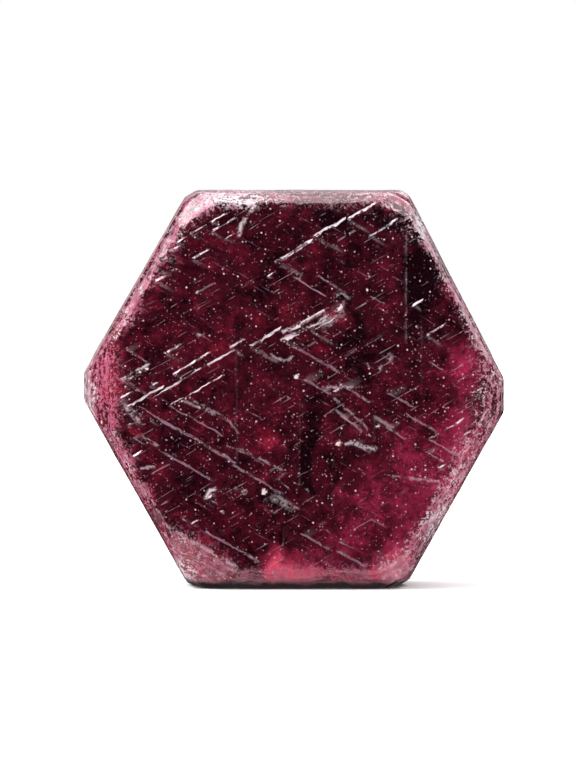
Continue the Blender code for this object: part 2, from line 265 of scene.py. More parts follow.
BACK_PLATES = (
    Plate(-13.80, 3.20, 19.50, 0.30),
    Plate(-9.60, 4.10, 10.20, 0.48),
    Plate(-5.40, -7.30, 12.80, 0.22),
    Plate(-1.90, 9.80, 8.40, 0.37),
    Plate(-12.10, -3.90, 6.10, 0.18),
    Plate(3.30, -2.20, 7.10, 0.40),
    Plate(6.90, -6.40, 5.20, 0.51),
    Plate(-2.60, -11.90, 6.00, 0.35),
    Plate(7.60, 6.70, 4.10, 0.24),
)

FRONT_LEDGES = (
    Ledge(StepKind.RISING, -1.85, 11.36, 4.20, 0.44),
    Ledge(StepKind.RISING, 1.50, 13.56, 3.70, 0.40),
    Ledge(StepKind.RISING, 4.40, 15.02, 3.60, 0.30),
    Ledge(StepKind.RISING, 6.43, 13.61, 3.38, 0.22),
    Ledge(StepKind.RISING, -12.56, 9.60, 2.68, 0.24),
    Ledge(StepKind.RISING, -11.66, 10.10, 0.97, 0.17),
    Ledge(StepKind.RISING, -9.41, 13.74, 1.82, 0.17),
    Ledge(StepKind.RISING, -7.52, 14.91, 2.05, 0.17),
    Ledge(StepKind.RISING, -7.61, 13.97, 2.98, 0.19),
    Ledge(StepKind.RISING, -10.58, 13.07, 1.25, 0.16),
    Ledge(StepKind.RISING, -11.39, 12.21, 1.51, 0.16),
    Ledge(StepKind.RISING, -9.32, 11.58, 2.11, 0.19),
    Ledge(StepKind.RISING, -6.26, 13.34, 1.35, 0.16),
    Ledge(StepKind.RISING, -8.87, 8.57, 2.46, 0.11),
    Ledge(StepKind.RISING, -2.48, 10.01, 0.70, 0.14),
    Ledge(StepKind.RISING, -15.35, 0.74, 2.86, 0.42),
    Ledge(StepKind.RISING, -10.90, 1.43, 4.20, 0.16),
    Ledge(StepKind.RISING, -11.66, 3.21, 2.20, 0.19),
    Ledge(StepKind.RISING, -5.95, 3.71, 1.94, 0.32),
    Ledge(StepKind.RISING, -4.19, 3.80, 3.70, 0.40),
    Ledge(StepKind.RISING, -0.82, 5.19, 4.07, 0.46),
    Ledge(StepKind.RISING, -1.13, 4.38, 6.75, 0.53),
    Ledge(StepKind.RISING, 0.94, 5.15, 3.83, 0.60),
    Ledge(StepKind.RISING, -15.08, -1.60, 4.23, 0.36),
    Ledge(StepKind.RISING, -15.57, -0.70, 1.28, 0.14),
    Ledge(StepKind.RISING, -14.18, 0.11, 0.93, 0.18),
    Ledge(StepKind.RISING, -12.93, 0.25, 0.94, 0.18),
    Ledge(StepKind.RISING, -14.90, -3.27, 0.73, 0.14),
    Ledge(StepKind.RISING, -14.45, -5.88, 1.23, 0.16),
    Ledge(StepKind.RISING, -7.88, -9.61, 0.87, 0.22),
    Ledge(StepKind.RISING, -9.23, -11.91, 0.83, 0.22),
    Ledge(StepKind.RISING, 3.14, -0.25, 0.91, 0.36),
    Ledge(StepKind.RISING, 10.30, 7.44, 1.27, 0.22),
    Ledge(StepKind.RISING, 11.38, 4.74, 2.36, 0.24),
    Ledge(StepKind.RISING, 15.52, -0.39, 1.45, 0.19),
    Ledge(StepKind.RISING, 12.73, -6.96, 0.83, 0.16),
    Ledge(StepKind.FALLING, -0.68, 10.19, 4.30, 0.18),
    Ledge(StepKind.FALLING, 1.20, 10.37, 3.50, 0.22),
    Ledge(StepKind.FALLING, 6.43, 8.30, 1.90, 0.15),
    Ledge(StepKind.FALLING, -15.26, 3.62, 2.74, 0.29),
    Ledge(StepKind.FALLING, -15.26, 0.56, 2.18, 0.17),
    Ledge(StepKind.FALLING, -14.99, -2.05, 1.78, 0.19),
    Ledge(StepKind.FALLING, -10.13, -0.88, 5.77, 0.49),
    Ledge(StepKind.FALLING, -8.96, -1.06, 3.83, 0.55),
    Ledge(StepKind.FALLING, -6.40, -4.70, 5.60, 0.34),
    Ledge(StepKind.FALLING, -6.17, -6.46, 6.96, 0.40),
    Ledge(StepKind.FALLING, 0.45, 1.00, 3.40, 0.36),
    Ledge(StepKind.FALLING, -2.57, -7.81, 2.82, 0.39),
    Ledge(StepKind.FALLING, -2.21, -9.16, 3.28, 0.26),
    Ledge(StepKind.FALLING, -9.14, -4.03, 2.15, 0.37),
    Ledge(StepKind.FALLING, -14.60, -4.26, 1.62, 0.20),
    Ledge(StepKind.FALLING, -13.46, -4.26, 1.47, 0.16),
    Ledge(StepKind.FALLING, -12.29, -5.34, 6.10, 0.36),
    Ledge(StepKind.FALLING, -7.79, -9.67, 1.39, 0.19),
    Ledge(StepKind.FALLING, -6.71, -10.92, 0.73, 0.14),
    Ledge(StepKind.FALLING, -10.27, -11.41, 0.97, 0.16),
    Ledge(StepKind.FALLING, -8.96, -12.13, 7.10, 0.38),
    Ledge(StepKind.FALLING, -11.98, -12.09, 8.04, 0.19),
    Ledge(StepKind.FALLING, -1.22, 4.34, 6.22, 0.52),
    Ledge(StepKind.FALLING, 1.66, 5.24, 2.42, 0.66),
    Ledge(StepKind.FALLING, 3.82, 0.42, 3.52, 0.37),
    Ledge(StepKind.FALLING, 3.84, -2.31, 2.75, 0.29),
    Ledge(StepKind.FALLING, 7.87, -0.12, 3.61, 0.36),
    Ledge(StepKind.FALLING, 9.40, -2.05, 5.60, 0.34),
    Ledge(StepKind.FALLING, 7.82, -3.36, 2.56, 0.28),
    Ledge(StepKind.FALLING, 11.38, -5.43, 2.36, 0.28),
    Ledge(StepKind.FALLING, 11.65, 2.45, 1.89, 0.17),
    Ledge(StepKind.FALLING, 6.48, -11.41, 2.01, 0.17),
    Ledge(StepKind.FALLING, 0.22, -12.76, 3.51, 0.34),
    Ledge(StepKind.FALLING, 3.37, -14.20, 3.66, 0.31),
    Ledge(StepKind.FALLING, 1.66, -12.04, 1.85, 0.22),
    Ledge(StepKind.FALLING, 3.37, -13.26, 3.24, 0.27),
    Ledge(StepKind.FALLING, 4.99, -4.75, 2.26, 0.24),
    Ledge(StepKind.UPRIGHT, 0.55, -10.20, 10.20, 0.28),
    Ledge(StepKind.UPRIGHT, 11.33, -1.15, 7.56, 0.23),
    Ledge(StepKind.UPRIGHT, 11.38, -8.89, 2.88, 0.14),
    Ledge(StepKind.UPRIGHT, 7.12, -5.30, 3.80, 0.25),
    Ledge(StepKind.UPRIGHT, 3.46, -11.68, 6.03, 0.20),
    Ledge(StepKind.UPRIGHT, -0.91, -15.55, 3.60, 0.20),
)

BACK_LEDGES = (
    Ledge(StepKind.RISING, -12.30, 8.10, 5.20, 0.26),
    Ledge(StepKind.RISING, -6.20, 10.20, 6.40, 0.22),
    Ledge(StepKind.RISING, 4.80, 10.40, 4.60, 0.24),
    Ledge(StepKind.RISING, -2.40, 1.40, 5.80, 0.62),
    Ledge(StepKind.RISING, 8.60, -1.20, 4.20, 0.58),
    Ledge(StepKind.FALLING, -14.90, -1.30, 3.60, 0.29),
    Ledge(StepKind.FALLING, -9.80, -9.90, 6.20, 0.27),
    Ledge(StepKind.FALLING, -4.20, -3.10, 4.80, 0.53),
    Ledge(StepKind.FALLING, 5.30, -11.20, 4.60, 0.36),
    Ledge(StepKind.FALLING, 9.40, 4.90, 5.00, 0.32),
    Ledge(StepKind.UPRIGHT, 5.80, -3.80, 9.20, 0.45),
    Ledge(StepKind.UPRIGHT, -7.90, -13.20, 5.10, 0.24),
)

FRONT_PITS = (
    Pit(-13.24, -2.68, 0.40, 0.31),
    Pit(-2.05, -10.25, 0.80, 0.34),
    Pit(4.05, 8.15, 0.62, 0.30),
    Pit(-11.35, 10.85, 0.75, 0.26),
    Pit(7.35, -14.75, 0.38, 0.28),
)

BACK_PITS = (
    Pit(-4.60, 6.90, 0.90, 0.34),
    Pit(2.10, -8.20, 0.70, 0.30),
    Pit(10.90, 1.80, 0.55, 0.26),
)


# Frosty cracks, seams and spots; many of the lines are painted highlights and painted reflections along
# growth steps.
FRONT_VEINS_AND_GLINTS = (
    VeinAndGlint(Matter.FROST, ((-3.61, 16.25), (-4.01, 15.59), (-4.46, 14.96), (-4.82, 14.42), (-4.91, 13.70)),
         width=0.15, strength=0.75),
    VeinAndGlint(Matter.FROST, ((-2.08, 3.08), (-1.58, 2.72), (-1.04, 2.54), (-0.50, 2.63), (-0.14, 2.90)),
         width=0.07, strength=0.42),
    VeinAndGlint(Matter.FROST, ((8.32, -7.63), (10.39, -7.90), (12.82, -8.17)), width=0.06, strength=0.35),
    VeinAndGlint(Matter.FROST, ((2.52, 0.20), (4.54, 0.15), (6.39, 0.20)), width=0.06, strength=0.45),
    VeinAndGlint(Matter.FROST, ((4.09, -5.02), (4.99, -4.75), (6.07, -5.11), (7.15, -5.29)),
         width=0.13, strength=0.6),
    VeinAndGlint(Matter.FROST, ((-7.07, -8.89), (-7.52, -8.98), (-7.88, -9.61)), width=0.11, strength=1.0),
    VeinAndGlint(Matter.FROST, ((-13.62, -7.07), (-13.01, -6.87), (-12.41, -6.85)), width=0.05, strength=0.5),
    VeinAndGlint(Matter.FROST, ((3.46, 8.12), (4.09, 8.48), (4.81, 8.12)), width=0.1, strength=0.45),
    VeinAndGlint(Matter.FROST, ((2.70, 6.00), (3.90, 6.90)), width=0.50, strength=0.28),
    VeinAndGlint(Matter.FROST, ((-1.80, -9.60), (-0.30, -10.50)), width=0.32, strength=0.34),
    VeinAndGlint(Matter.FROST, ((3.55, -0.86), (4.90, -2.00), (6.39, -3.45)), width=0.05, strength=0.30),
    VeinAndGlint(Matter.FROST, ((3.68, -1.89), (5.88, -3.70)), width=0.04, strength=0.25),
    VeinAndGlint(Matter.FROST, ((9.88, 14.20), (9.88, 4.20)), width=0.03, strength=0.10),
    VeinAndGlint(Matter.FROST, ((7.20, -2.50), (8.50, -3.35)), width=0.12, strength=0.30),
    VeinAndGlint(Matter.FROST, ((-10.04, -0.94), (-5.82, -2.78), (-5.03, -3.84)), width=0.045, strength=0.30),
    VeinAndGlint(Matter.FROST, ((-8.86, -1.07), (-5.96, -2.59)), width=0.04, strength=0.26),
    VeinAndGlint(Matter.FROST, ((-5.96, -5.03), (-4.77, -5.30), (-2.66, -6.35), (-1.20, -7.14)),
         width=0.05, strength=0.30),
    VeinAndGlint(Matter.FROST, ((-13.50, -4.20), (-12.20, -5.00)), width=0.09, strength=0.36),
    VeinAndGlint(Matter.FROST, ((-0.97, 5.10), (2.90, 7.15)), width=0.05, strength=0.85),
    VeinAndGlint(Matter.FROST, ((-1.24, 4.40), (2.60, 6.06)), width=0.05, strength=0.75),
    VeinAndGlint(Matter.FROST, ((-15.30, 0.90), (-12.96, 2.20)), width=0.07, strength=0.90),
    VeinAndGlint(Matter.FROST, ((7.60, 1.91),), width=0.15, strength=0.9),
    VeinAndGlint(Matter.FROST, ((-4.51, -9.07),), width=0.19, strength=0.9),
    VeinAndGlint(Matter.FROST, ((-5.18, -8.85),), width=0.11, strength=0.7),
    VeinAndGlint(Matter.FROST, ((8.23, 2.76),), width=0.38, strength=0.4),
    VeinAndGlint(Matter.FROST, ((-8.51, 4.83),), width=0.12, strength=0.8),
    VeinAndGlint(Matter.FROST, ((-12.7, -11.3), (-9.6, -13.15), (-5.2, -15.7)), width=0.10, strength=0.40),
    VeinAndGlint(Matter.FROST, ((-13.5, -12.3), (-11.0, -13.75), (-7.2, -15.95)), width=0.08, strength=0.32),
    VeinAndGlint(Matter.FROST, ((-15.3, -1.3), (-14.5, -2.2), (-13.9, -2.9)), width=0.24, strength=0.30),
    VeinAndGlint(Matter.OCHRE, ((0.17, 1.10),), width=0.21, strength=0.9),
    VeinAndGlint(Matter.OCHRE, ((7.37, -3.31),), width=0.21, strength=0.8),
    VeinAndGlint(Matter.OCHRE, ((3.91, -4.84),), width=0.26, strength=0.9),
    VeinAndGlint(Matter.OCHRE, ((-2.71, -9.07),), width=0.26, strength=0.9),
    VeinAndGlint(Matter.OCHRE, ((6.43, 8.75),), width=0.13, strength=0.9),
)


# ---- noise ---------------------------------------------------------------------------------------

@dataclass
class Wander:
    """Smooth random wandering along a line, made of knots joined by straight runs.

    Attributes:
        seed: What the knots are drawn from.
        spacing: The distance between knots.
        amount: The largest distance from the line.
        length: The length that the knots cover.
    """

    seed: str
    spacing: float
    amount: float
    length: float
    knots: np.ndarray = field(init=False, repr=False)

    def __post_init__(self) -> None:
        """Draw the knots."""
        draw = random.Random(self.seed)
        count = max(3, int(self.length / self.spacing) + 3)
        self.knots = np.array([draw.uniform(-1.0, 1.0) for _ in range(count)]) * self.amount

    def at(self, along: np.ndarray) -> np.ndarray:
        """Read the wandering at distances along the line."""
        return np.interp(along / self.spacing, np.arange(len(self.knots)), self.knots)


class Grain:
    """Smooth three-dimensional value noise, in the range from -1 to 1."""

    def __init__(self, seed: int, scale: float) -> None:
        """Draw the lattice.

        Args:
            seed: What the lattice is drawn from.
            scale: The size of one cell, in millimetres.
        """
        self.scale = scale
        self.size = 64
        draw = np.random.default_rng(seed)
        self.lattice = draw.uniform(-1.0, 1.0, (self.size, self.size, self.size))

    def at(self, points: np.ndarray) -> np.ndarray:
        """Read the noise at points.

        Args:
            points: An (N, 3) array in millimetres.

        Returns:
            N values.
        """
        place = points / self.scale
        cell = np.floor(place).astype(int)
        part = place - cell
        part = part * part * (3.0 - 2.0 * part)
        total = np.zeros(len(points))
        for corner in np.ndindex(2, 2, 2):
            weight = np.prod(np.where(corner, part, 1.0 - part), axis=1)
            index = (cell + corner) % self.size
            total += weight * self.lattice[index[:, 0], index[:, 1], index[:, 2]]
        return total


# ---- the barrel ----------------------------------------------------------------------------------

class Barrel:
    """The crystal's convex body: side faces in growth bands, corners, bevels, chips and the rest."""

    def __init__(self) -> None:
        """Work out how far each face of each band stands in."""
        self.faces = SIDES + CORNERS
        self.insets = np.zeros((len(BANDS), len(self.faces)))
        for row, band in enumerate(BANDS):
            uneven = random.Random(band.name)
            for column in range(len(self.faces)):
                self.insets[row, column] = band.inset * uneven.uniform(*UNEVENNESS)
        self.wear = [Wander(f"wear{face.bearing}", 1.7, 0.16, 130.0) for face in self.faces]
        self.nicks = [Wander(f"nick{face.bearing}", 0.38, 0.06, 130.0) for face in self.faces]

    def worn(self, number: int, bearing: np.ndarray) -> np.ndarray:
        """How far the wear moves a bevel, at bearings around the axis in radians."""
        around = (bearing % (2 * math.pi)) * 19.0
        return self.wear[number].at(around) + self.nicks[number].at(around)

    def skin(self, bearing: np.ndarray, y: np.ndarray) -> tuple[np.ndarray, np.ndarray, np.ndarray]:
        """The distance from the axis to the surface, and the frost and blush there.

        Args:
            bearing: Bearings around the axis, in radians.
            y: Places along the axis.

        Returns:
            The distances, the frost and the blush, in the arrays' shared shape.
        """
        bearing, y = np.broadcast_arrays(bearing, y)
        band = np.clip(np.searchsorted([b.end for b in BANDS[:-1]], y), 0, len(BANDS) - 1)
        distance = np.where(y < 0, FRONT, BACK)
        nearest = np.full(bearing.shape, 99.0)
        frost = np.full(bearing.shape, 0.3)
        blush = np.full(bearing.shape, 0.5)
        for number, face in enumerate(self.faces):
            slant = np.cos(bearing - math.radians(face.bearing))
            facing = slant > 0.2
            slant = np.where(facing, slant, 1.0)
            side = face.reach - self.insets[band, number] - face.draw * np.abs(y) / distance
            bevel = face.inner + (distance - np.abs(y)) * face.bevel_width / face.bevel_depth
            bevel = bevel + self.worn(number, bearing)
            reach = np.where(facing, np.minimum(side, bevel) / slant, 99.0)
            closer = reach < nearest
            rim = np.clip((np.abs(y) - 5.5) / 3.0, 0.0, 1.0)
            on_side = 0.16 + 0.10 * face.frost + rim * 0.70 * face.frost
            frost = np.where(closer, np.where(bevel < side, face.frost, on_side), frost)
            blush = np.where(closer, face.blush, blush)
            nearest = np.minimum(nearest, reach)
        for chip in CHIPS:
            normal = np.array(chip.facing)
            offset = normal @ (np.array(chip.place) - (0.0, 0.0, AXIS_HEIGHT))
            slant = normal[0] * np.cos(bearing) + normal[2] * np.sin(bearing)
            limit = np.where(slant > 0.05, (offset - normal[1] * y) / np.maximum(slant, 0.05), 99.0)
            frost = np.where(limit < nearest, 0.15, frost)
            nearest = np.minimum(nearest, limit)
        down = -np.sin(bearing)
        floor = np.where(down > 0.1, AXIS_HEIGHT / np.maximum(down, 0.1), 99.0)
        return np.minimum(nearest, floor), frost, blush

    def level_limit(self, u: np.ndarray, v: np.ndarray,
                    facing_y: float) -> tuple[np.ndarray, np.ndarray, np.ndarray]:
        """The highest level that the bevels and chips leave on a broad face, its frost and its blush.

        Args:
            u: Places across the broad face.
            v: Places up the broad face.
            facing_y: -1 for the front, 1 for the back.

        Returns:
            The limit over the broad face, and the frost and blush of the bevel that sets it.
        """
        x = -facing_y * u
        bearing = np.arctan2(v, x)
        limit = np.full(u.shape, 9.0)
        frost = np.zeros(u.shape)
        blush = np.zeros(u.shape)
        for number, face in enumerate(self.faces):
            angle = math.radians(face.bearing)
            out = x * math.cos(angle) + v * math.sin(angle)
            level = (face.inner + self.worn(number, bearing) - out) * face.bevel_depth / face.bevel_width
            frost = np.where(level < limit, face.frost, frost)
            blush = np.where(level < limit, face.blush, blush)
            limit = np.minimum(limit, level)
        distance = FRONT if facing_y < 0 else BACK
        for chip in CHIPS:
            normal = np.array(chip.facing)
            if normal[1] * facing_y <= 0:
                continue
            offset = normal @ (np.array(chip.place) - (0.0, 0.0, AXIS_HEIGHT))
            level = (offset - normal[0] * x - normal[2] * v) / normal[1] * facing_y - distance
            frost = np.where(level < limit, 0.15, frost)
            limit = np.minimum(limit, level)
        return limit, frost, blush


# ---- the growth steps ----------------------------------------------------------------------------

@dataclass
class Riser:
    """One straight riser with a wandering edge: the part that plates and ledges share.

    Attributes:
        start: Where its foot starts, in the broad face.
        kind: The direction that it runs in.
        length: Its length.
        width: The width of its slope.
        seed: What its wandering is drawn from.
    """

    start: np.ndarray
    kind: StepKind
    length: float
    width: float
    seed: str

    def __post_init__(self) -> None:
        """Draw the coarse and fine wandering of the foot, and that of the slope's width."""
        self.along = self.kind.along
        self.behind = self.kind.behind
        self.coarse = Wander(self.seed + "coarse", 1.3, 0.07, self.length)
        self.fine = Wander(self.seed + "fine", 0.26, 0.045, self.length)
        self.broad = Wander(self.seed + "broad", 0.55, 0.35, self.length)

    def shift(self, along: np.ndarray) -> np.ndarray:
        """How far the foot wanders from its line, at distances along it."""
        return self.coarse.at(along) + self.fine.at(along)

    def slope_width(self, along: np.ndarray) -> np.ndarray:
        """The width of the slope, at distances along it."""
        return self.width * (1.0 + self.broad.at(along))

    def measure(self, u: np.ndarray, v: np.ndarray) -> tuple[np.ndarray, np.ndarray]:
        """Measure points against the riser.

        Args:
            u: Places across the broad face.
            v: Places up the broad face.

        Returns:
            The distances along it and behind its foot.
        """
        offset_u, offset_v = u - self.start[0], v - self.start[1]
        along = offset_u * self.along[0] + offset_v * self.along[1]
        behind = offset_u * self.behind[0] + offset_v * self.behind[1]
        return along, behind - self.shift(along)

    def climb(self, u: np.ndarray, v: np.ndarray) -> np.ndarray:
        """How far up the slope points are, from 0 at the foot to 1 at the top and beyond it."""
        along, behind = self.measure(u, v)
        return np.clip(behind / self.slope_width(along), 0.0, 1.0)

    def line(self, part: float, spacing: float) -> np.ndarray:
        """Points along the slope at one height.

        Args:
            part: The height, from 0 at the foot to 1 at the top.
            spacing: The distance between points.

        Returns:
            An (N, 2) array.
        """
        along = np.linspace(0.0, self.length, max(2, int(self.length / spacing) + 1))
        behind = self.shift(along) + part * self.slope_width(along)
        return self.start + np.outer(along, self.along) + behind[:, None] * self.behind


class GrownPlate:
    """A triangular plate with three risers."""

    def __init__(self, plate: Plate, name: str) -> None:
        """Set up the risers.

        Args:
            plate: The plate's place, span and level.
            name: What its wandering is drawn from.
        """
        self.level = plate.level
        draw = random.Random(name)
        tip = np.array((plate.u, plate.v))
        slant = plate.span / math.cos(STEP_ANGLE)
        corner = tip + StepKind.FALLING.along * slant
        lean = 0.07 + 0.45 * plate.level
        rising, falling, upright = StepKind.RISING, StepKind.FALLING, StepKind.UPRIGHT
        self.risers = [
            Riser(start, kind, slant, lean * draw.uniform(0.7, 1.3), name + kind.value)
            for start, kind in ((tip, rising), (tip, falling), (corner, upright))
        ]

    def heights(self, u: np.ndarray, v: np.ndarray) -> np.ndarray:
        """The plate's height over the broad face at points."""
        climbs = [riser.climb(u, v) for riser in self.risers]
        return self.level * np.minimum.reduce(climbs)


class GrownLedge:
    """A sliver with one riser, fading out behind it and narrowing along the other step directions."""

    def __init__(self, ledge: Ledge, name: str) -> None:
        """Set up the riser.

        Args:
            ledge: The sliver's direction, place and sizes.
            name: What its wandering is drawn from.
        """
        self.level = ledge.rise
        self.length = ledge.length
        start = np.array((ledge.u, ledge.v))
        width = 0.08 + 0.40 * ledge.rise
        self.risers = [Riser(start, ledge.kind, ledge.length, width, name)]

    def heights(self, u: np.ndarray, v: np.ndarray) -> np.ndarray:
        """The sliver's height over the broad face at points."""
        riser = self.risers[0]
        along, behind = riser.measure(u, v)
        drawn_in = math.tan(STEP_ANGLE) * np.maximum(behind, 0.0)
        crisp = riser.width if riser.kind is StepKind.RISING else 0.32 * self.length
        tip = np.clip((along - drawn_in) / crisp, 0.0, 1.0)
        end = np.clip((self.length - along - drawn_in) / (0.40 * self.length), 0.0, 1.0)
        ends = tip * end * (2.0 - end)
        top = np.clip(self.level - LEDGE_SLOPE * behind, 0.0, self.level)
        return top * np.clip(behind / riser.slope_width(along), 0.0, 1.0) * ends


class BroadFace:
    """One broad face: its plates, ledges, pits, cracks and painted glint lines, and the mesh inside its
    seam.
    """

    frost_reach = 2.2

    def __init__(self, barrel: Barrel, facing_y: float, plates: tuple[Plate, ...],
                 ledges: tuple[Ledge, ...], pits: tuple[Pit, ...], veins_and_glints: tuple[VeinAndGlint, ...],
                 spacing: float) -> None:
        """Set up the growth steps.

        Args:
            barrel: The body that the face belongs to.
            facing_y: -1 for the front, 1 for the back.
            plates: The plates.
            ledges: The slivers.
            pits: The hollows.
            veins_and_glints: The cracks, seams and spots, and the painted lines of highlight and reflection
                along steps.
            spacing: The distance between the mesh's points.
        """
        self.barrel = barrel
        self.facing_y = facing_y
        self.distance = FRONT if facing_y < 0 else BACK
        self.pits = pits
        self.veins_and_glints = veins_and_glints
        self.spacing = spacing
        self.uneven = Grain(31 if facing_y < 0 else 32, 2.2)
        side = "front" if facing_y < 0 else "back"
        self.growths = [GrownPlate(plate, f"{side}plate{i}") for i, plate in enumerate(plates)]
        self.growths += [GrownLedge(ledge, f"{side}ledge{i}") for i, ledge in enumerate(ledges)]

    def terraces(self, u: np.ndarray, v: np.ndarray) -> np.ndarray:
        """The height of the growth steps over the broad face at points."""
        level = np.zeros(u.shape)
        for growth in self.growths:
            level = np.maximum(level, growth.heights(u, v))
        return level

    def slopes(self, u: np.ndarray, v: np.ndarray, level: np.ndarray) -> np.ndarray:
        """Where the slope of a riser shows at points, as 0 or 1, given the growth steps' height there."""
        slope = np.zeros(u.shape)
        for growth in self.growths:
            shown = growth.heights(u, v) > level - 0.03
            for riser in growth.risers:
                climbed = riser.measure(u, v)[1] / riser.width
                slope = np.where(shown & (climbed < 1.15), 1.0, slope)
        return slope

    def surface(self, u: np.ndarray, v: np.ndarray) -> tuple[np.ndarray, dict[str, np.ndarray]]:
        """The whole surface at points of the broad face.

        Args:
            u: Places across the broad face.
            v: Places up the broad face.

        Returns:
            The height over the broad face, and masks: its frost and blush, the matter of its cracks and
            painted glint lines, where the grown face shows, and where the risers' slopes do.
        """
        level = self.terraces(u, v)
        slope = self.slopes(u, v, level)
        grown = np.ones(u.shape)
        for pit in self.pits:
            away = np.hypot(u - pit.u, v - pit.v) / pit.radius
            level = level - pit.depth * np.clip(3.0 * (1.0 - away), 0.0, 1.0)
            grown = np.where(away < 1.1, 0.0, grown)
        masks = {matter.value: np.zeros(u.shape) for matter in Matter}
        for vein in self.veins_and_glints:
            cover = vein.cover(u, v)
            level = level + 0.05 * cover
            masks[vein.matter.value] = np.maximum(masks[vein.matter.value], cover)
        limit, frost, blush = self.barrel.level_limit(u, v, self.facing_y)
        uneven = self.uneven.at(np.column_stack((u.ravel(), np.zeros(u.size), v.ravel()))).reshape(u.shape)
        reach = self.frost_reach * (1.0 + 0.65 * uneven)
        worn = np.clip((level - limit) / reach + 1.0, 0.0, 1.0)
        grown = np.where(level > limit - 0.02, 0.0, grown)
        frost = frost * np.where(worn < 1.0, 0.8 * worn * worn, 1.0)
        masks = {"vein": masks["frost"], "ochre": masks["ochre"], "frost": frost, "blush": blush,
                 "grown": grown, "slope": slope * grown}
        return np.minimum(level, limit), masks

    def step_lines(self) -> list[np.ndarray]:
        """The lines that the mesh has to follow: each riser's top, and its foot where it shows."""
        lines = []
        for growth in self.growths:
            for riser in growth.risers:
                top = riser.line(1.0, self.spacing)
                foot = riser.line(0.0, self.spacing)
                outside = foot - riser.behind * 0.03
                below = self.terraces(outside[:, 0], outside[:, 1])
                shown = self.terraces(top[:, 0], top[:, 1]) <= growth.level + 0.01
                shown &= below < growth.level * 0.92
                part = np.clip(below / growth.level, 0.0, 0.9)[:, None]
                crease = foot + (top - foot) * part
                lines += self.runs(top, shown) + self.runs(crease, shown)
        for vein in self.veins_and_glints:
            corners = np.array(vein.chain)
            gone = np.concatenate(([0.0], np.cumsum(np.linalg.norm(np.diff(corners, axis=0), axis=1))))
            if gone[-1] > 0:
                along = np.linspace(0.0, gone[-1], int(gone[-1] / self.spacing) + 2)
                lines.append(np.column_stack([np.interp(along, gone, corners[:, i]) for i in (0, 1)]))
        return lines

    @staticmethod
    def runs(points: np.ndarray, keep: np.ndarray) -> list[np.ndarray]:
        """Split a line of points into the runs that are kept.

        Args:
            points: An (N, 2) array.
            keep: Which of the points are kept.

        Returns:
            The runs of two points or more.
        """
        edges = np.flatnonzero(np.diff(np.concatenate(([0], keep.astype(int), [0]))))
        return [points[a:b] for a, b in zip(edges[::2], edges[1::2]) if b - a >= 2]

    def inside(self, points: np.ndarray, margin: float) -> np.ndarray:
        """Which points lie inside the seam by a margin."""
        bearing = np.arctan2(points[:, 1], -self.facing_y * points[:, 0])
        y = self.facing_y * (self.distance - SEAM)
        reach = self.barrel.skin(bearing, np.full(len(points), y))[0]
        return np.hypot(points[:, 0], points[:, 1]) < reach - margin

    def scattered(self, taken: np.ndarray) -> np.ndarray:
        """Points between the step lines, on an uneven triangular net.

        Args:
            taken: The points of the step lines and the seam.

        Returns:
            An (N, 2) array.
        """
        draw = np.random.default_rng(11 if self.facing_y < 0 else 12)
        step = self.spacing
        columns = np.arange(-20.0, 20.0, step)
        rows = np.arange(-20.0, 20.0, step * math.sqrt(0.75))
        net = np.stack(np.meshgrid(columns, rows), axis=-1)
        net[1::2, :, 0] += step / 2
        net = net.reshape(-1, 2)
        net = net + draw.uniform(-0.28, 0.28, net.shape) * step
        net = net[self.inside(net, step * 0.6)]
        tree = kdtree.KDTree(len(taken))
        for index, point in enumerate(taken):
            tree.insert((point[0], point[1], 0.0), index)
        tree.balance()
        clear = [tree.find((p[0], p[1], 0.0))[2] > step * 0.55 for p in net]
        return net[np.array(clear)]

    def mesh(self, seam: np.ndarray) -> tuple[np.ndarray, np.ndarray, list[int], dict[str, np.ndarray]]:
        """Build the face's triangles.

        Args:
            seam: The seam's points in order, as (N, 2) places in the broad face.

        Returns:
            The points as (u, v, level), the triangles, the seam's point for each point or -1, and
            the masks at each point.
        """
        lines = [line[self.inside(line, 0.12)] for line in self.step_lines()]
        lines = [line for line in lines if len(line) >= 2]
        points = [seam] + lines
        edges = [(i, (i + 1) % len(seam)) for i in range(len(seam))]
        count = len(seam)
        for line in lines:
            edges += [(count + i, count + i + 1) for i in range(len(line) - 1)]
            count += len(line)
        taken = np.concatenate(points)
        everything = np.concatenate((taken, self.scattered(taken)))
        result = delaunay_2d_cdt([Vector(p) for p in everything], edges, [], 1, 1e-4, True)
        flat = np.array([tuple(p) for p in result[0]])
        triangles = np.array([tuple(t) for t in result[2]])
        on_seam = [min((i for i in ids if i < len(seam)), default=-1) for ids in result[3]]
        turns = np.array(on_seam)[triangles]
        rises = (turns < np.roll(turns, -1, axis=1)).sum(axis=1)
        outside = (turns.min(axis=1) >= 0) & (rises == (1 if self.facing_y < 0 else 2))
        triangles = triangles[~outside]
        level, masks = self.surface(flat[:, 0], flat[:, 1])
        return np.column_stack((flat, level)), triangles, on_seam, masks

    def place(self, points: np.ndarray) -> np.ndarray:
        """Turn (u, v, level) into the crystal's own (x, y, z), in millimetres."""
        x = -self.facing_y * points[:, 0]
        y = self.facing_y * (self.distance + points[:, 2])
        return np.column_stack((x, y, points[:, 1] + AXIS_HEIGHT))


# ---- the inner tones and their painted light -----------------------------------------------------

@dataclass(frozen=True)
class Glow:
    """A place where the inner colour is lighter or darker than around it: the stone's own uneven colour, and
    in places painted glow and painted shade.

    Attributes:
        u: Its place across the crystal, from the axis.
        v: Its place up the crystal, from the axis.
        width: Its half width.
        height: Its half height.
        strength: How much it lightens, or below zero darkens.
    """

    u: float
    v: float
    width: float
    height: float
    strength: float

    def at(self, points: np.ndarray) -> np.ndarray:
        """How much it adds at (N, 3) points in millimetres from the axis."""
        away = np.hypot((points[:, 0] - self.u) / self.width, (points[:, 2] - self.v) / self.height)
        part = np.clip((GLOW_REACH - away) / GLOW_FADE, 0.0, 1.0)
        return self.strength * part * part * (3.0 - 2.0 * part)
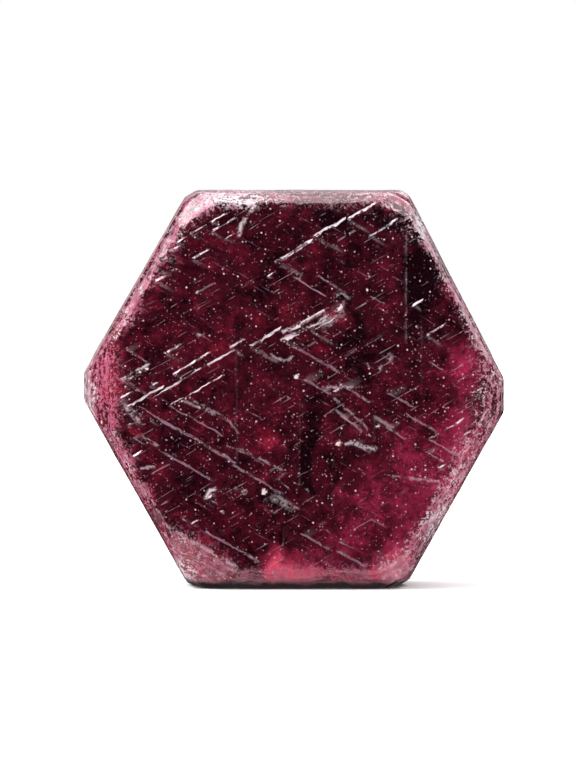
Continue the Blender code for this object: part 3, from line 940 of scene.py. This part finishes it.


# Partly the stone's own uneven colour and partly painted light: the bright zones along the bottom are
# painted glow of light passing through the stone, and several dark zones under and beside the steps are
# painted shade.
TONES_AND_PAINTED_LIGHT = (
    Glow(15.2, 1.8, 1.8, 2.5, 0.68),
    Glow(-8.0, 4.0, 4.0, 3.0, 0.12),
    Glow(-16.2, 1.0, 1.4, 4.0, 0.35),
    Glow(-2.6, -4.9, 1.6, 1.5, 0.48),
    Glow(3.6, 6.4, 1.3, 1.1, 0.65),
    Glow(-0.7, -16.0, 2.5, 2.2, 1.15),
    Glow(8.6, -15.8, 2.4, 2.0, 1.05),
    Glow(4.0, -14.0, 3.0, 1.6, 0.45),
    Glow(4.2, -17.2, 5.5, 1.6, 0.70),
    Glow(-7.6, -16.6, 3.8, 1.6, 0.45),
    Glow(13.8, -6.0, 2.4, 4.6, 0.34),
    Glow(9.4, -6.5, 5.0, 4.4, 0.30),
    Glow(6.4, -11.0, 5.0, 3.2, 0.34),
    Glow(12.6, -9.6, 2.6, 3.4, 0.40),
    Glow(-9.0, -14.6, 3.2, 1.8, 0.30),
    Glow(-13.4, -8.0, 1.8, 3.6, 0.25),
    Glow(6.6, 9.4, 5.4, 5.0, -0.14),
    Glow(3.5, 15.0, 2.2, 1.8, -0.45),
    Glow(12.3, 9.6, 1.5, 3.2, -0.40),
    Glow(10.9, 9.8, 0.9, 6.4, -0.42),
    Glow(-1.5, -16.5, 1.8, 1.1, 0.80),
    Glow(4.0, 8.2, 1.1, 0.5, -0.50),
    Glow(6.2, 3.2, 2.4, 3.0, -0.25),
    Glow(1.3, -4.8, 0.9, 5.2, -0.52),
    Glow(3.3, -8.5, 0.4, 3.2, -0.40),
    Glow(-0.9, -13.4, 0.4, 2.0, -0.45),
    Glow(-1.7, -9.9, 1.3, 1.0, -0.55),
    Glow(15.2, -3.5, 2.0, 2.8, 0.65),
    Glow(10.1, -13.4, 1.8, 1.8, 0.60),
    Glow(-14.2, -3.3, 1.1, 1.1, 0.40),
    Glow(7.4, -14.8, 0.6, 0.5, -0.80),
    Glow(7.7, -4.8, 1.3, 1.4, -0.40),
    Glow(8.8, 15.0, 2.6, 1.1, -0.50),
    Glow(-9.4, -9.0, 3.4, 3.0, -0.12),
)

# The same for the frost of the bevels, in parts of what they have.
RIMES = (
    Glow(8.0, 15.5, 3.0, 1.2, -0.85),
    Glow(-5.5, 16.7, 3.3, 1.1, 0.95),
    Glow(-10.4, -16.6, 1.7, 1.5, 1.60),
    Glow(11.2, 14.6, 1.4, 1.2, 0.80),
    Glow(2.2, 17.0, 4.2, 1.3, -0.65),
    Glow(-16.0, 5.8, 1.5, 2.6, -0.55),
    Glow(-18.5, -0.5, 1.0, 2.6, 1.00),
    Glow(-12.0, -11.4, 1.6, 2.3, -0.70),
    Glow(15.7, -4.4, 1.2, 2.6, -0.55),
    Glow(13.4, 11.0, 1.5, 2.6, -0.45),
    Glow(12.9, -11.8, 1.6, 1.8, 0.55),
)


# ---- the whole mesh ------------------------------------------------------------------------------

@dataclass
class CrystalShell:
    """The crystal's closed surface: two broad faces joined by the side mesh.

    Attributes:
        columns: The number of points around the side mesh.
        front_spacing: The distance between points on the front broad face.
        back_spacing: The distance between points on the back broad face.
        side_spacing: The distance between the side mesh's rows.
        bevel_spacing: The same, where the side mesh crosses the bevels.
    """

    columns: int = 360
    front_spacing: float = 0.185
    back_spacing: float = 0.30
    side_spacing: float = 0.24
    bevel_spacing: float = 0.15
    barrel: Barrel = field(default_factory=Barrel)

    def rows(self) -> np.ndarray:
        """The places of the side mesh's rows along the axis."""
        first, last = -(FRONT - SEAM), BACK - SEAM
        near, far = first + 1.5, last - 1.5
        rows = [np.arange(first, near, self.bevel_spacing), np.arange(near, far, self.side_spacing),
                np.arange(far, last + 1e-6, self.bevel_spacing)]
        ends = [band.end + step for band in BANDS[:-1] for step in (-0.02, 0.07)]
        joined = np.sort(np.concatenate(rows))
        joined[-1] = last
        clear = [min(abs(y - end) for end in ends) > 0.05 for y in joined]
        return np.sort(np.concatenate((joined[np.array(clear)], ends)))

    def sides(self, rows: np.ndarray) -> tuple[np.ndarray, np.ndarray, np.ndarray]:
        """The side mesh's points, row by row, in millimetres, with their frost and blush."""
        bearing = np.linspace(0.0, 2 * math.pi, self.columns, endpoint=False)
        grid_y, grid_bearing = np.meshgrid(rows, bearing, indexing="ij")
        reach, frost, blush = self.barrel.skin(grid_bearing, grid_y)
        x = reach * np.cos(grid_bearing)
        z = reach * np.sin(grid_bearing) + AXIS_HEIGHT
        return np.stack((x, grid_y, z), axis=-1), frost, blush

    def build(self, name: str) -> bpy.types.Object:
        """Build the closed mesh with its masks.

        Args:
            name: The object's name.

        Returns:
            The object, linked to the scene.
        """
        rows = self.rows()
        sides, side_frost, side_blush = self.sides(rows)
        columns = self.columns
        points = [sides.reshape(-1, 3)]
        empty = np.zeros(len(points[0]))
        masks = {"frost": [side_frost.ravel()], "blush": [side_blush.ravel()],
                 "vein": [empty], "ochre": [empty], "grown": [empty]}
        ring = np.arange(columns)
        after = (ring + 1) % columns
        faces = []
        for row in range(len(rows) - 1):
            low, high = row * columns, (row + 1) * columns
            faces += list(zip(low + ring, high + ring, high + after, low + after))
        count = len(points[0])
        risers = [np.zeros((len(faces), 2))]
        for face in (
            BroadFace(self.barrel, -1.0, FRONT_PLATES, FRONT_LEDGES, FRONT_PITS, FRONT_VEINS_AND_GLINTS,
                      self.front_spacing),
            BroadFace(self.barrel, 1.0, BACK_PLATES, BACK_LEDGES, BACK_PITS, (), self.back_spacing),
        ):
            row = 0 if face.facing_y < 0 else len(rows) - 1
            edge = sides[row]
            seam = np.column_stack((-face.facing_y * edge[:, 0], edge[:, 2] - AXIS_HEIGHT))
            flat, triangles, on_seam, face_masks = face.mesh(seam)
            index = np.array([row * columns + i if i >= 0 else -1 for i in on_seam])
            new = index < 0
            index[new] = count + np.arange(new.sum())
            points.append(face.place(flat)[new])
            for label, parts in masks.items():
                parts.append(face_masks[label][new])
            count += int(new.sum())
            faces += [tuple(index[list(t)]) for t in triangles]
            risers.append(self.painted_reflection_mask(flat, triangles, face_masks["slope"]))
        joined = {label: np.concatenate(parts) for label, parts in masks.items()}
        # The painted dull reflection and the painted highlight of the steps' slopes.
        joined["riser"], joined["glint"] = np.concatenate(risers).T
        return self.to_object(name, np.concatenate(points), faces, joined)

    @staticmethod
    def painted_reflection_mask(flat: np.ndarray, triangles: np.ndarray, slopes: np.ndarray) -> np.ndarray:
        """Which triangles are the slopes of growth steps, and what painted light each gets by the way it
        faces.

        Args:
            flat: The points as (u, v, level).
            triangles: The triangles.
            slopes: Where the slopes of risers show, at each point.

        Returns:
            Two values for each triangle, from 0 to 1: the painted dull reflection of the slopes that face
            down and of upright ones, and the painted highlight of the ones that face up.
        """
        a, b, c = (flat[triangles[:, i]] for i in range(3))
        normal = np.cross(b - a, c - a)
        normal = normal * np.sign(normal[:, 2:])
        slope = np.hypot(normal[:, 0], normal[:, 1]) / np.maximum(normal[:, 2], 1e-9)
        facing = np.arctan2(normal[:, 1], normal[:, 0])
        steep = np.clip((slope - 0.25) / 0.4, 0.0, 1.0) * slopes[triangles].min(axis=1)
        # Painted light by facing: down-left slopes get the painted dull reflection, up-left ones the painted
        # highlight, upright ones a little of the dull one.
        turn = math.radians(90.0) + STEP_ANGLE
        dull, bright = (np.clip(2.6 - np.abs(facing - middle) / math.radians(15.0), 0.0, 1.0)
                        for middle in (-turn, turn))
        dull = np.maximum(dull, np.where(np.abs(facing) < STEP_ANGLE, UPRIGHT_REFLECTION_PAINT, 0.0))
        return np.column_stack((steep * dull, steep * bright))

    def to_object(self, name: str, points: np.ndarray, faces: list[tuple[int, ...]],
                  masks: dict[str, np.ndarray]) -> bpy.types.Object:
        """Write the mesh, roughen it and shade it.

        Args:
            name: The object's name.
            points: The points, in millimetres.
            faces: The faces.
            masks: The masks of the points and of the faces.

        Returns:
            The object, linked to the scene.
        """
        mesh = bpy.data.meshes.new(name)
        mesh.from_pydata(points.tolist(), [], [tuple(int(i) for i in f) for f in faces])
        mesh.update()
        normals = np.zeros(len(points) * 3)
        mesh.vertices.foreach_get("normal", normals)
        masks["tone"] = self.zones(points, TONES_AND_PAINTED_LIGHT)
        rime = self.zones(points, RIMES)
        masks["frost"] = np.clip(masks["frost"] * (1.0 + rime), 0.0, 1.0)
        masks["blush"] = np.clip(masks["blush"] - 0.5 * np.maximum(rime, 0.0), 0.0, 1.0)
        points = self.roughen(points, normals.reshape(-1, 3), masks["frost"])
        mesh.vertices.foreach_set("co", (points * MM).ravel())
        for label, values in masks.items():
            domain = "POINT" if len(values) == len(points) else "FACE"
            mask = mesh.attributes.new(label, "FLOAT", domain)
            mask.data.foreach_set("value", np.asarray(values, dtype=np.float32))
        mesh.update()
        mesh.shade_smooth()
        mesh.set_sharp_from_angle(angle=SHARP_ANGLE)
        item = bpy.data.objects.new(name, mesh)
        bpy.context.scene.collection.objects.link(item)
        return item

    @staticmethod
    def zones(points: np.ndarray, glows: tuple[Glow, ...]) -> np.ndarray:
        """What the glows add up to at points, with ragged edges between them."""
        from_axis = points - (0.0, 0.0, AXIS_HEIGHT)
        ragged = from_axis.copy()
        (far, wide), (near, narrow) = WANDER_COARSE, WANDER_FINE
        for axis, seed in ((0, 21), (2, 22)):
            ragged[:, axis] += far * Grain(seed, wide).at(points) + near * Grain(seed + 2, narrow).at(points)
        return sum(glow.at(ragged) for glow in glows)

    @staticmethod
    def roughen(points: np.ndarray, normals: np.ndarray, frost: np.ndarray) -> np.ndarray:
        """Move the points a little along their normals, as the grown and worn surface has it."""
        from_axis = points - (0.0, 0.0, AXIS_HEIGHT)
        sidewards = np.hypot(normals[:, 0], normals[:, 2]) ** 2
        shift = 0.016 * Grain(3, 2.6).at(points)
        shift += (0.005 + 0.045 * frost) * Grain(4, 0.45).at(points)
        shift += 0.060 * frost * Grain(5, 1.1).at(points)
        shift += 0.035 * sidewards * Grain(6, 0.32).at(from_axis * (0.10, 1.0, 0.10))
        moved = points + normals * shift[:, None]
        moved[:, 2] = np.maximum(moved[:, 2], 0.0)
        return moved


# ---- the finish, with its painted light ----------------------------------------------------------

Colour = tuple[float, float, float, float]
Socket = bpy.types.NodeSocket
Input = Socket | float | tuple[float, ...]      # an output to join, or a value to set


class Sheet:
    """A node tree with short ways to add and join nodes."""

    def __init__(self, tree: bpy.types.NodeTree) -> None:
        """Take over a node tree."""
        self.tree = tree

    def add(self, kind: str, settings: dict[str, object] | None = None,
            **inputs: Input) -> bpy.types.Node:
        """Add a node.

        Args:
            kind: The node's type name.
            settings: Its properties.
            inputs: Its inputs by name, with _ for a space: a value, or an output to join.

        Returns:
            The node.
        """
        node = self.tree.nodes.new(kind)
        for key, value in (settings or {}).items():
            setattr(node, key, value)
        for key, value in inputs.items():
            self.set(node.inputs[key.replace("_", " ")], value)
        return node

    def set(self, socket: Socket, value: Input) -> None:
        """Join an output to a socket, or set the socket's value."""
        if isinstance(value, Socket):
            self.tree.links.new(value, socket)
        else:
            socket.default_value = value

    def math(self, operation: str, *values: Input) -> Socket:
        """Add a Math node and return its result."""
        node = self.tree.nodes.new("ShaderNodeMath")
        node.operation = operation
        for socket, value in zip(node.inputs, values):
            self.set(socket, value)
        return node.outputs[0]

    def mix(self, part: Input, first: Input, second: Input) -> Socket:
        """Mix two colours and return the result."""
        node = self.tree.nodes.new("ShaderNodeMix")
        node.data_type = "RGBA"
        self.set(node.inputs["Factor"], part)
        self.set(node.inputs[6], first)
        self.set(node.inputs[7], second)
        return node.outputs[2]

    def ramp(self, value: Input, low: float, high: float) -> Socket:
        """Stretch a value so that low becomes 0 and high becomes 1, kept between them."""
        node = self.add("ShaderNodeMapRange", {"clamp": True})
        self.set(node.inputs[0], value)
        node.inputs[1].default_value = low
        node.inputs[2].default_value = high
        return node.outputs[0]


@dataclass(frozen=True)
class Speckle:
    """One size of bright specks, which lie at random in and on the surface: pale inclusions with their
    sparkle painted in.

    Attributes:
        scale: How many cells there are to a millimetre, each with one speck at most.
        radius: The largest radius, in parts of a cell.
        share: The share of the cells that have a speck.
        power: How bright the brightest are.
    """

    scale: float
    radius: float
    share: float
    power: float


# Pale inclusions, painted as bright as the light that sparkles off them: partly painted highlights.
SPECKS_AND_PAINTED_SPARKLE = (
    Speckle(scale=4.0, radius=0.32, share=0.50, power=0.36),
    Speckle(scale=2.4, radius=0.23, share=0.55, power=0.90),
    Speckle(scale=1.2, radius=0.125, share=0.55, power=1.0),
)


@dataclass(frozen=True)
class RubyFinishAndPaintedLight:
    """The crystal's finish: dark red and partly clear, with frosted bevels, painted highlights on the steps
    and other painted light.
    """

    deep: Colour = (0.010, 0.0006, 0.0030, 1.0)
    body: Colour = (0.068, 0.0022, 0.0105, 1.0)
    crimson: Colour = (0.30, 0.010, 0.032, 1.0)
    magenta: Colour = (0.31, 0.013, 0.058, 1.0)
    coral: Colour = (0.80, 0.07, 0.15, 1.0)
    # The painted dull reflection on step slopes that face down; the falling striations take it too.
    riser: Colour = (0.35, 0.20, 0.28, 1.0)
    # The painted highlight on step slopes that face up and on painted step lines; also the white of frosty
    # cracks and spots.
    glint: Colour = (0.95, 0.80, 0.87, 1.0)
    # The pale pink of the specks, with their sparkle painted in.
    speck: Colour = (0.96, 0.74, 0.82, 1.0)
    pale_frost: Colour = (0.88, 0.80, 0.845, 1.0)
    red_frost: Colour = (0.44, 0.075, 0.165, 1.0)
    ochre: Colour = (0.80, 0.42, 0.30, 1.0)
    sheen: Colour = (1.0, 0.86, 0.94, 1.0)
    refraction: float = 1.76
    clearness: float = 0.30
    absorption: Colour = (0.80, 0.03, 0.10, 1.0)
    density: float = 160.0

    @staticmethod
    def strokes(sheet: Sheet, place: Socket, angle: float, seed: float) -> Socket:
        """Fine broken lines in the broad face that run at an angle to the horizontal, in degrees."""
        turned = sheet.add("ShaderNodeMapping", {"vector_type": "TEXTURE"}, Vector=place,
                           Location=(seed, seed, seed), Rotation=(0.0, math.radians(-angle), 0.0),
                           Scale=(4.5, 4.5, 0.17))
        line = sheet.add("ShaderNodeTexNoise", Vector=turned.outputs[0], Scale=1.0, Detail=2.0)
        return sheet.ramp(line.outputs["Fac"], 0.64, 0.72)

    @staticmethod
    def noise(sheet: Sheet, place: Socket, scale: float, detail: float, roughness: float) -> Socket:
        """Add smooth noise around zero, from about -0.5 to 0.5."""
        node = sheet.add("ShaderNodeTexNoise", Vector=place, Scale=scale, Detail=detail,
                         Roughness=roughness)
        return sheet.math("SUBTRACT", node.outputs["Fac"], 0.5)

    def tone(self, sheet: Sheet, place: Socket, zones: Socket) -> Socket:
        """How light the inner colour is: its zones, partly painted glow and shade, with clouds and mottling,
        around zero.
        """
        tone = sheet.math("MULTIPLY_ADD", self.noise(sheet, place, 0.35, 2.0, 0.5), 0.9, zones)
        tone = sheet.math("MULTIPLY_ADD", self.noise(sheet, place, 1.0, 3.0, 0.6), 1.5, tone)
        tone = sheet.math("MULTIPLY_ADD", self.noise(sheet, place, 3.6, 3.0, 0.75), 1.25, tone)
        return sheet.math("SUBTRACT", tone, 0.06)

    def inner_colour(self, sheet: Sheet, place: Socket, tone: Socket) -> Socket:
        """The colour under the polished surface, which turns to magenta at the lower right."""
        split = sheet.add("ShaderNodeSeparateXYZ", Vector=place)
        lean = sheet.math("MULTIPLY_ADD", split.outputs["Z"], -0.6, split.outputs["X"])
        lean = sheet.math("MULTIPLY_ADD", self.noise(sheet, place, 0.5, 2.0, 0.6), 24.0, lean)
        light = sheet.mix(sheet.ramp(lean, -16.0, 4.0), self.crimson, self.magenta)
        colour = sheet.mix(sheet.ramp(tone, -0.40, 0.10), self.deep, self.body)
        colour = sheet.mix(sheet.ramp(tone, 0.10, 0.85), colour, light)
        # Coral where it is lightest, mostly in the painted glow along the bottom.
        return sheet.mix(sheet.ramp(tone, 0.85, 1.6), colour, self.coral)

    def specks(self, sheet: Sheet, place: Socket) -> Socket:
        """How bright the specks are, with their sparkle painted in as colour."""
        total = 0.0
        for speckle in SPECKS_AND_PAINTED_SPARKLE:
            cells = sheet.add("ShaderNodeTexVoronoi", {"feature": "F1"}, Vector=place, Scale=speckle.scale)
            pick = sheet.add("ShaderNodeSeparateColor")
            sheet.set(pick.inputs[0], cells.outputs["Color"])
            size = sheet.math("MULTIPLY_ADD", pick.outputs[1], speckle.radius * 0.6, speckle.radius * 0.4)
            inside = sheet.ramp(sheet.math("SUBTRACT", cells.outputs["Distance"], size), 0.0, -0.06)
            chosen = sheet.ramp(pick.outputs[0], 1.0 - speckle.share, 1.0)
            bright = sheet.math("MULTIPLY_ADD", chosen, speckle.power * 0.85, speckle.power * 0.15)
            bright = sheet.math("MULTIPLY", bright, sheet.ramp(chosen, 0.0, 0.02))
            total = sheet.math("MAXIMUM", total, sheet.math("MULTIPLY", bright, inside))
        return total

    def material(self) -> bpy.types.Material:
        """Build the material."""
        material = bpy.data.materials.new("ruby")
        material.use_nodes = True
        sheet = Sheet(material.node_tree)
        material.node_tree.nodes.clear()
        coordinates = sheet.add("ShaderNodeTexCoord")
        scaled = sheet.add("ShaderNodeVectorMath", {"operation": "SCALE"})
        sheet.set(scaled.inputs[0], coordinates.outputs["Object"])
        scaled.inputs["Scale"].default_value = 1.0 / MM
        place = scaled.outputs[0]
        # The masks of the mesh; those of the steps' slopes are painted reflection and painted highlight, and
        # the inner zones hold painted glow and shade.
        frost, blush, riser, glint, vein, ochre, grown, zones = (
            sheet.add("ShaderNodeAttribute", {"attribute_name": name}).outputs["Fac"]
            for name in ("frost", "blush", "riser", "glint", "vein", "ochre", "grown", "tone"))
        grit = self.noise(sheet, place, 5.4, 3.0, 0.8)
        patch = self.noise(sheet, place, 0.9, 3.0, 0.6)
        around = sheet.add("ShaderNodeMapping", {"vector_type": "TEXTURE"}, Vector=place,
                           Scale=(7.0, 0.30, 7.0))
        bands = sheet.math("MULTIPLY", self.noise(sheet, around.outputs[0], 1.0, 3.0, 0.6),
                           sheet.math("SUBTRACT", 1.0, grown))
        clots = self.noise(sheet, place, 2.4, 2.0, 0.6)
        bloom = sheet.math("MULTIPLY_ADD", grit, 5.0, sheet.math("MULTIPLY", patch, 2.4))
        bloom = sheet.math("MULTIPLY_ADD", bands, 2.2, sheet.math("MULTIPLY_ADD", clots, 3.8, bloom))
        frosted = sheet.ramp(sheet.math("MULTIPLY_ADD", frost, 0.85, bloom), 0.28, 0.60)
        frosted = sheet.math("MULTIPLY", frosted, sheet.ramp(frost, 0.0, 0.30))
        tone = self.tone(sheet, place, zones)
        under_frost = sheet.math("MULTIPLY_ADD", blush, 0.7, 0.25)
        tone = sheet.math("ADD", tone, sheet.math("MULTIPLY", frost, under_frost))
        tone = sheet.math("MULTIPLY_ADD", sheet.math("MULTIPLY", clots, frost), 2.4, tone)
        tone = sheet.math("MULTIPLY_ADD", bands, 2.4, tone)
        tone = sheet.math("MULTIPLY_ADD", sheet.math("SUBTRACT", 1.0, grown), 0.18, tone)
        colour = self.inner_colour(sheet, place, tone)
        # Fine striations, which the crystal has, coloured with painted light: the falling ones take the
        # painted dull reflection, the rising ones the painted highlight.
        falling = self.strokes(sheet, place, -30.0, 3.0)
        falling = sheet.math("MULTIPLY", falling, sheet.ramp(patch, -0.02, 0.06))
        rising = self.strokes(sheet, place, 30.0, 9.0)
        rising = sheet.math("MULTIPLY", rising, sheet.ramp(patch, 0.02, -0.06))
        rising = sheet.math("MULTIPLY", rising, grown)
        colour = sheet.mix(sheet.math("MULTIPLY", falling, 0.42), colour, self.riser)
        colour = sheet.mix(sheet.math("MULTIPLY", rising, 0.22), colour, self.glint)
        # Painted light on the steps' slopes: the dull reflection where they face down, the highlight where
        # they face up, broken up by noise.
        rubbed = sheet.math("MULTIPLY_ADD", grit, 1.5, patch)
        dull = sheet.math("MULTIPLY", riser, sheet.ramp(rubbed, -0.22, 0.10))
        colour = sheet.mix(sheet.math("MULTIPLY", dull, 0.80), colour, self.riser)
        bright = sheet.math("MULTIPLY", glint, sheet.ramp(sheet.math("ADD", rubbed, patch), -0.20, 0.06))
        colour = sheet.mix(bright, colour, self.glint)
        redness = sheet.ramp(sheet.math("MULTIPLY_ADD", patch, 2.6, blush), 0.05, 0.80)
        colour = sheet.mix(frosted, colour, sheet.mix(redness, self.pale_frost, self.red_frost))
        # The specks: pale inclusions with a painted sparkle.
        specks = self.specks(sheet, place)
        colour = sheet.mix(specks, colour, self.speck)
        # Frosty cracks and spots, and painted lines of highlight and reflection along steps, in the pale
        # glint colour.
        broken = sheet.ramp(sheet.math("ADD", grit, patch), -0.10, 0.06)
        colour = sheet.mix(sheet.math("MULTIPLY", vein, broken), colour, self.glint)
        ragged = sheet.ramp(sheet.math("MULTIPLY_ADD", grit, 2.6, ochre), 0.40, 0.60)
        seam = sheet.mix(sheet.ramp(patch, -0.08, 0.06), self.ochre, self.glint)
        colour = sheet.mix(sheet.math("MULTIPLY", ragged, sheet.ramp(ochre, 0.0, 0.1)), colour, seam)
        # Painted contact shadow: the colour darkens to the deep red towards the floor, below about 0.9 mm
        # with a ragged edge, and the surface turns rough there.
        height_above = sheet.add("ShaderNodeSeparateXYZ", Vector=place).outputs["Z"]
        foot = sheet.ramp(sheet.math("MULTIPLY_ADD", patch, 0.8, height_above), 0.35, 0.90)
        colour = sheet.mix(foot, self.deep, colour)
        rough = sheet.math("MULTIPLY_ADD", frosted, 0.35, sheet.math("MULTIPLY_ADD", frost, 0.22, 0.15))
        rough = sheet.math("MULTIPLY_ADD", riser, 0.12, rough)
        rough = sheet.math("MAXIMUM", rough, sheet.math("SUBTRACT", 1.0, foot))
        grit_height = sheet.math("ADD", 0.10, sheet.math("MULTIPLY_ADD", frost, 1.8, riser))
        height = sheet.math("MULTIPLY", grit, grit_height)
        height = sheet.math("MULTIPLY_ADD", specks, 0.5, height)
        height = sheet.math("MULTIPLY_ADD", sheet.math("ADD", rising, falling), 0.25, height)
        height = sheet.math("MULTIPLY_ADD", bands, 1.6, height)
        bump = sheet.add("ShaderNodeBump", Strength=0.6, Distance=0.00005, Height=height)
        surface = sheet.add("ShaderNodeBsdfPrincipled", Base_Color=colour, Roughness=rough,
                            Normal=bump.outputs["Normal"], IOR=self.refraction)
        surface.inputs["Transmission Weight"].default_value = self.clearness
        surface.inputs["Specular Tint"].default_value = self.sheen
        inside = sheet.add("ShaderNodeVolumeAbsorption", Color=self.absorption, Density=self.density)
        output = sheet.add("ShaderNodeOutputMaterial")
        sheet.set(output.inputs["Surface"], surface.outputs[0])
        sheet.set(output.inputs["Volume"], inside.outputs[0])
        return material


# ---- the studio ----------------------------------------------------------------------------------

@dataclass(frozen=True)
class SoftLight:
    """A broad distant light.

    Attributes:
        name: The light's name.
        direction: Where it comes from, as a vector from the crystal.
        spread: How wide it looks from the crystal, in degrees.
        power: Its strength.
    """

    name: str
    direction: tuple[float, float, float]
    spread: float
    power: float

    def add(self) -> None:
        """Add the light to the scene."""
        data = bpy.data.lights.new(self.name, "SUN")
        data.angle = math.radians(self.spread)
        data.energy = self.power
        light = bpy.data.objects.new(self.name, data)
        light.rotation_euler = (-Vector(self.direction)).to_track_quat("-Z", "Y").to_euler()
        bpy.context.scene.collection.objects.link(light)


@dataclass(frozen=True)
class Studio:
    """The pale floor, the lights, the world and the camera."""

    view_height: float = 69.12      # what the frame holds from top to bottom at the crystal
    distance: float = 0.70          # from the camera to the crystal, in metres
    elevation: float = 1.0          # how far the camera looks down, in degrees
    aim: tuple[float, float, float] = (-0.00059, 0.0, 0.01808)
    floor_size: float = 3.0
    dome_edge: tuple[float, float] = (0.45, 0.80)   # where the dome's light starts and is full
    dome_power: float = 2.0
    ground_edge: tuple[float, float] = (-0.40, -0.75)   # the same for the light from below
    ground_power: float = 1.45
    foot_edge: tuple[float, float] = (-0.97, -0.82)     # where the crystal's own foot dims it
    wall_edge: tuple[float, float] = (0.80, 0.95)   # the pale wall behind, which grazed faces mirror
    wall_foot: tuple[float, float] = (-0.06, 0.0)
    wall_power: float = 0.8
    fill_power: float = 0.45                        # what diffuse light comes from everywhere

    def add_floor(self) -> None:
        """Add the pale floor."""
        half = self.floor_size / 2
        mesh = bpy.data.meshes.new("floor")
        corners = [(-half, -half, 0.0), (half, -half, 0.0), (half, half, 0.0), (-half, half, 0.0)]
        mesh.from_pydata(corners, [], [(0, 1, 2, 3)])
        material = bpy.data.materials.new("pale_floor")
        material.use_nodes = True
        surface = material.node_tree.nodes["Principled BSDF"]
        surface.inputs["Base Color"].default_value = (0.92, 0.92, 0.92, 1.0)
        surface.inputs["Roughness"].default_value = 0.8
        surface.inputs["Specular IOR Level"].default_value = 0.2
        mesh.materials.append(material)
        floor = bpy.data.objects.new("floor", mesh)
        bpy.context.scene.collection.objects.link(floor)
        floor.visible_glossy = False

    def add_world(self) -> None:
        """Add the world: white to the camera, and a soft overhead dome for the crystal."""
        world = bpy.data.worlds.new("studio_world")
        world.use_nodes = True
        bpy.context.scene.world = world
        sheet = Sheet(world.node_tree)
        world.node_tree.nodes.clear()
        path = sheet.add("ShaderNodeLightPath")
        direction = sheet.add("ShaderNodeSeparateXYZ")
        sheet.set(direction.inputs[0], sheet.add("ShaderNodeTexCoord").outputs["Generated"])
        above = sheet.ramp(direction.outputs["Z"], *self.dome_edge)
        below = sheet.math("MULTIPLY", sheet.ramp(direction.outputs["Z"], *self.ground_edge),
                           sheet.ramp(direction.outputs["Z"], *self.foot_edge))
        shine = sheet.math("ADD", sheet.math("MULTIPLY", above, self.dome_power),
                           sheet.math("MULTIPLY", below, self.ground_power))
        behind = sheet.math("MULTIPLY", sheet.ramp(direction.outputs["Y"], *self.wall_edge),
                            sheet.ramp(direction.outputs["Z"], *self.wall_foot))
        behind = sheet.math("MULTIPLY", behind, path.outputs["Is Glossy Ray"])
        shine = sheet.math("MULTIPLY_ADD", behind, self.wall_power, shine)
        strength = sheet.math("ADD", shine, sheet.math("MULTIPLY", path.outputs["Is Diffuse Ray"],
                                                       self.fill_power))
        seen = sheet.add("ShaderNodeBackground", Color=(1.0, 1.0, 1.0, 1.0), Strength=1.0)
        lit = sheet.add("ShaderNodeBackground", Color=(1.0, 1.0, 1.0, 1.0), Strength=strength)
        mixed = sheet.add("ShaderNodeMixShader")
        sheet.set(mixed.inputs[0], path.outputs["Is Camera Ray"])
        sheet.set(mixed.inputs[1], lit.outputs[0])
        sheet.set(mixed.inputs[2], seen.outputs[0])
        output = sheet.add("ShaderNodeOutputWorld")
        sheet.set(output.inputs["Surface"], mixed.outputs[0])

    def add_lights(self) -> None:
        """Add the distant soft lights."""
        for light in (
            SoftLight("key_light", (-0.72, 0.10, 0.70), 35.0, 3.0),
            SoftLight("rear_light", (0.35, 0.80, 0.60), 30.0, 1.2),
        ):
            light.add()

    def add_camera(self) -> None:
        """Add the camera at the crystal's front."""
        data = bpy.data.cameras.new("camera")
        data.sensor_fit = "VERTICAL"
        data.sensor_height = 36.0
        data.lens = data.sensor_height * self.distance / (self.view_height * MM)
        data.clip_end = 20.0
        camera = bpy.data.objects.new("camera", data)
        angle = math.radians(self.elevation)
        aim = Vector(self.aim)
        camera.location = aim + Vector((0.0, -math.cos(angle), math.sin(angle))) * self.distance
        camera.rotation_euler = (aim - camera.location).to_track_quat("-Z", "Y").to_euler()
        bpy.context.scene.collection.objects.link(camera)
        bpy.context.scene.camera = camera

    def build(self) -> None:
        """Build the whole studio."""
        bpy.context.scene.view_settings.view_transform = "Standard"
        self.add_floor()
        self.add_world()
        self.add_lights()
        self.add_camera()


def main() -> None:
    """Build the crystal and the studio."""
    logging.basicConfig(level=logging.INFO, format="%(name)s: %(message)s")
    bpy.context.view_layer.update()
    Studio().build()
    crystal = CrystalShell().build("crystal_skin")
    crystal.data.materials.append(RubyFinishAndPaintedLight().material())
    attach(crystal, "root")
    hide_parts("ruby_crystal")
    LOG.info("%s: %d faces", crystal.name, len(crystal.data.polygons))


if __name__ == "__main__":
    main()
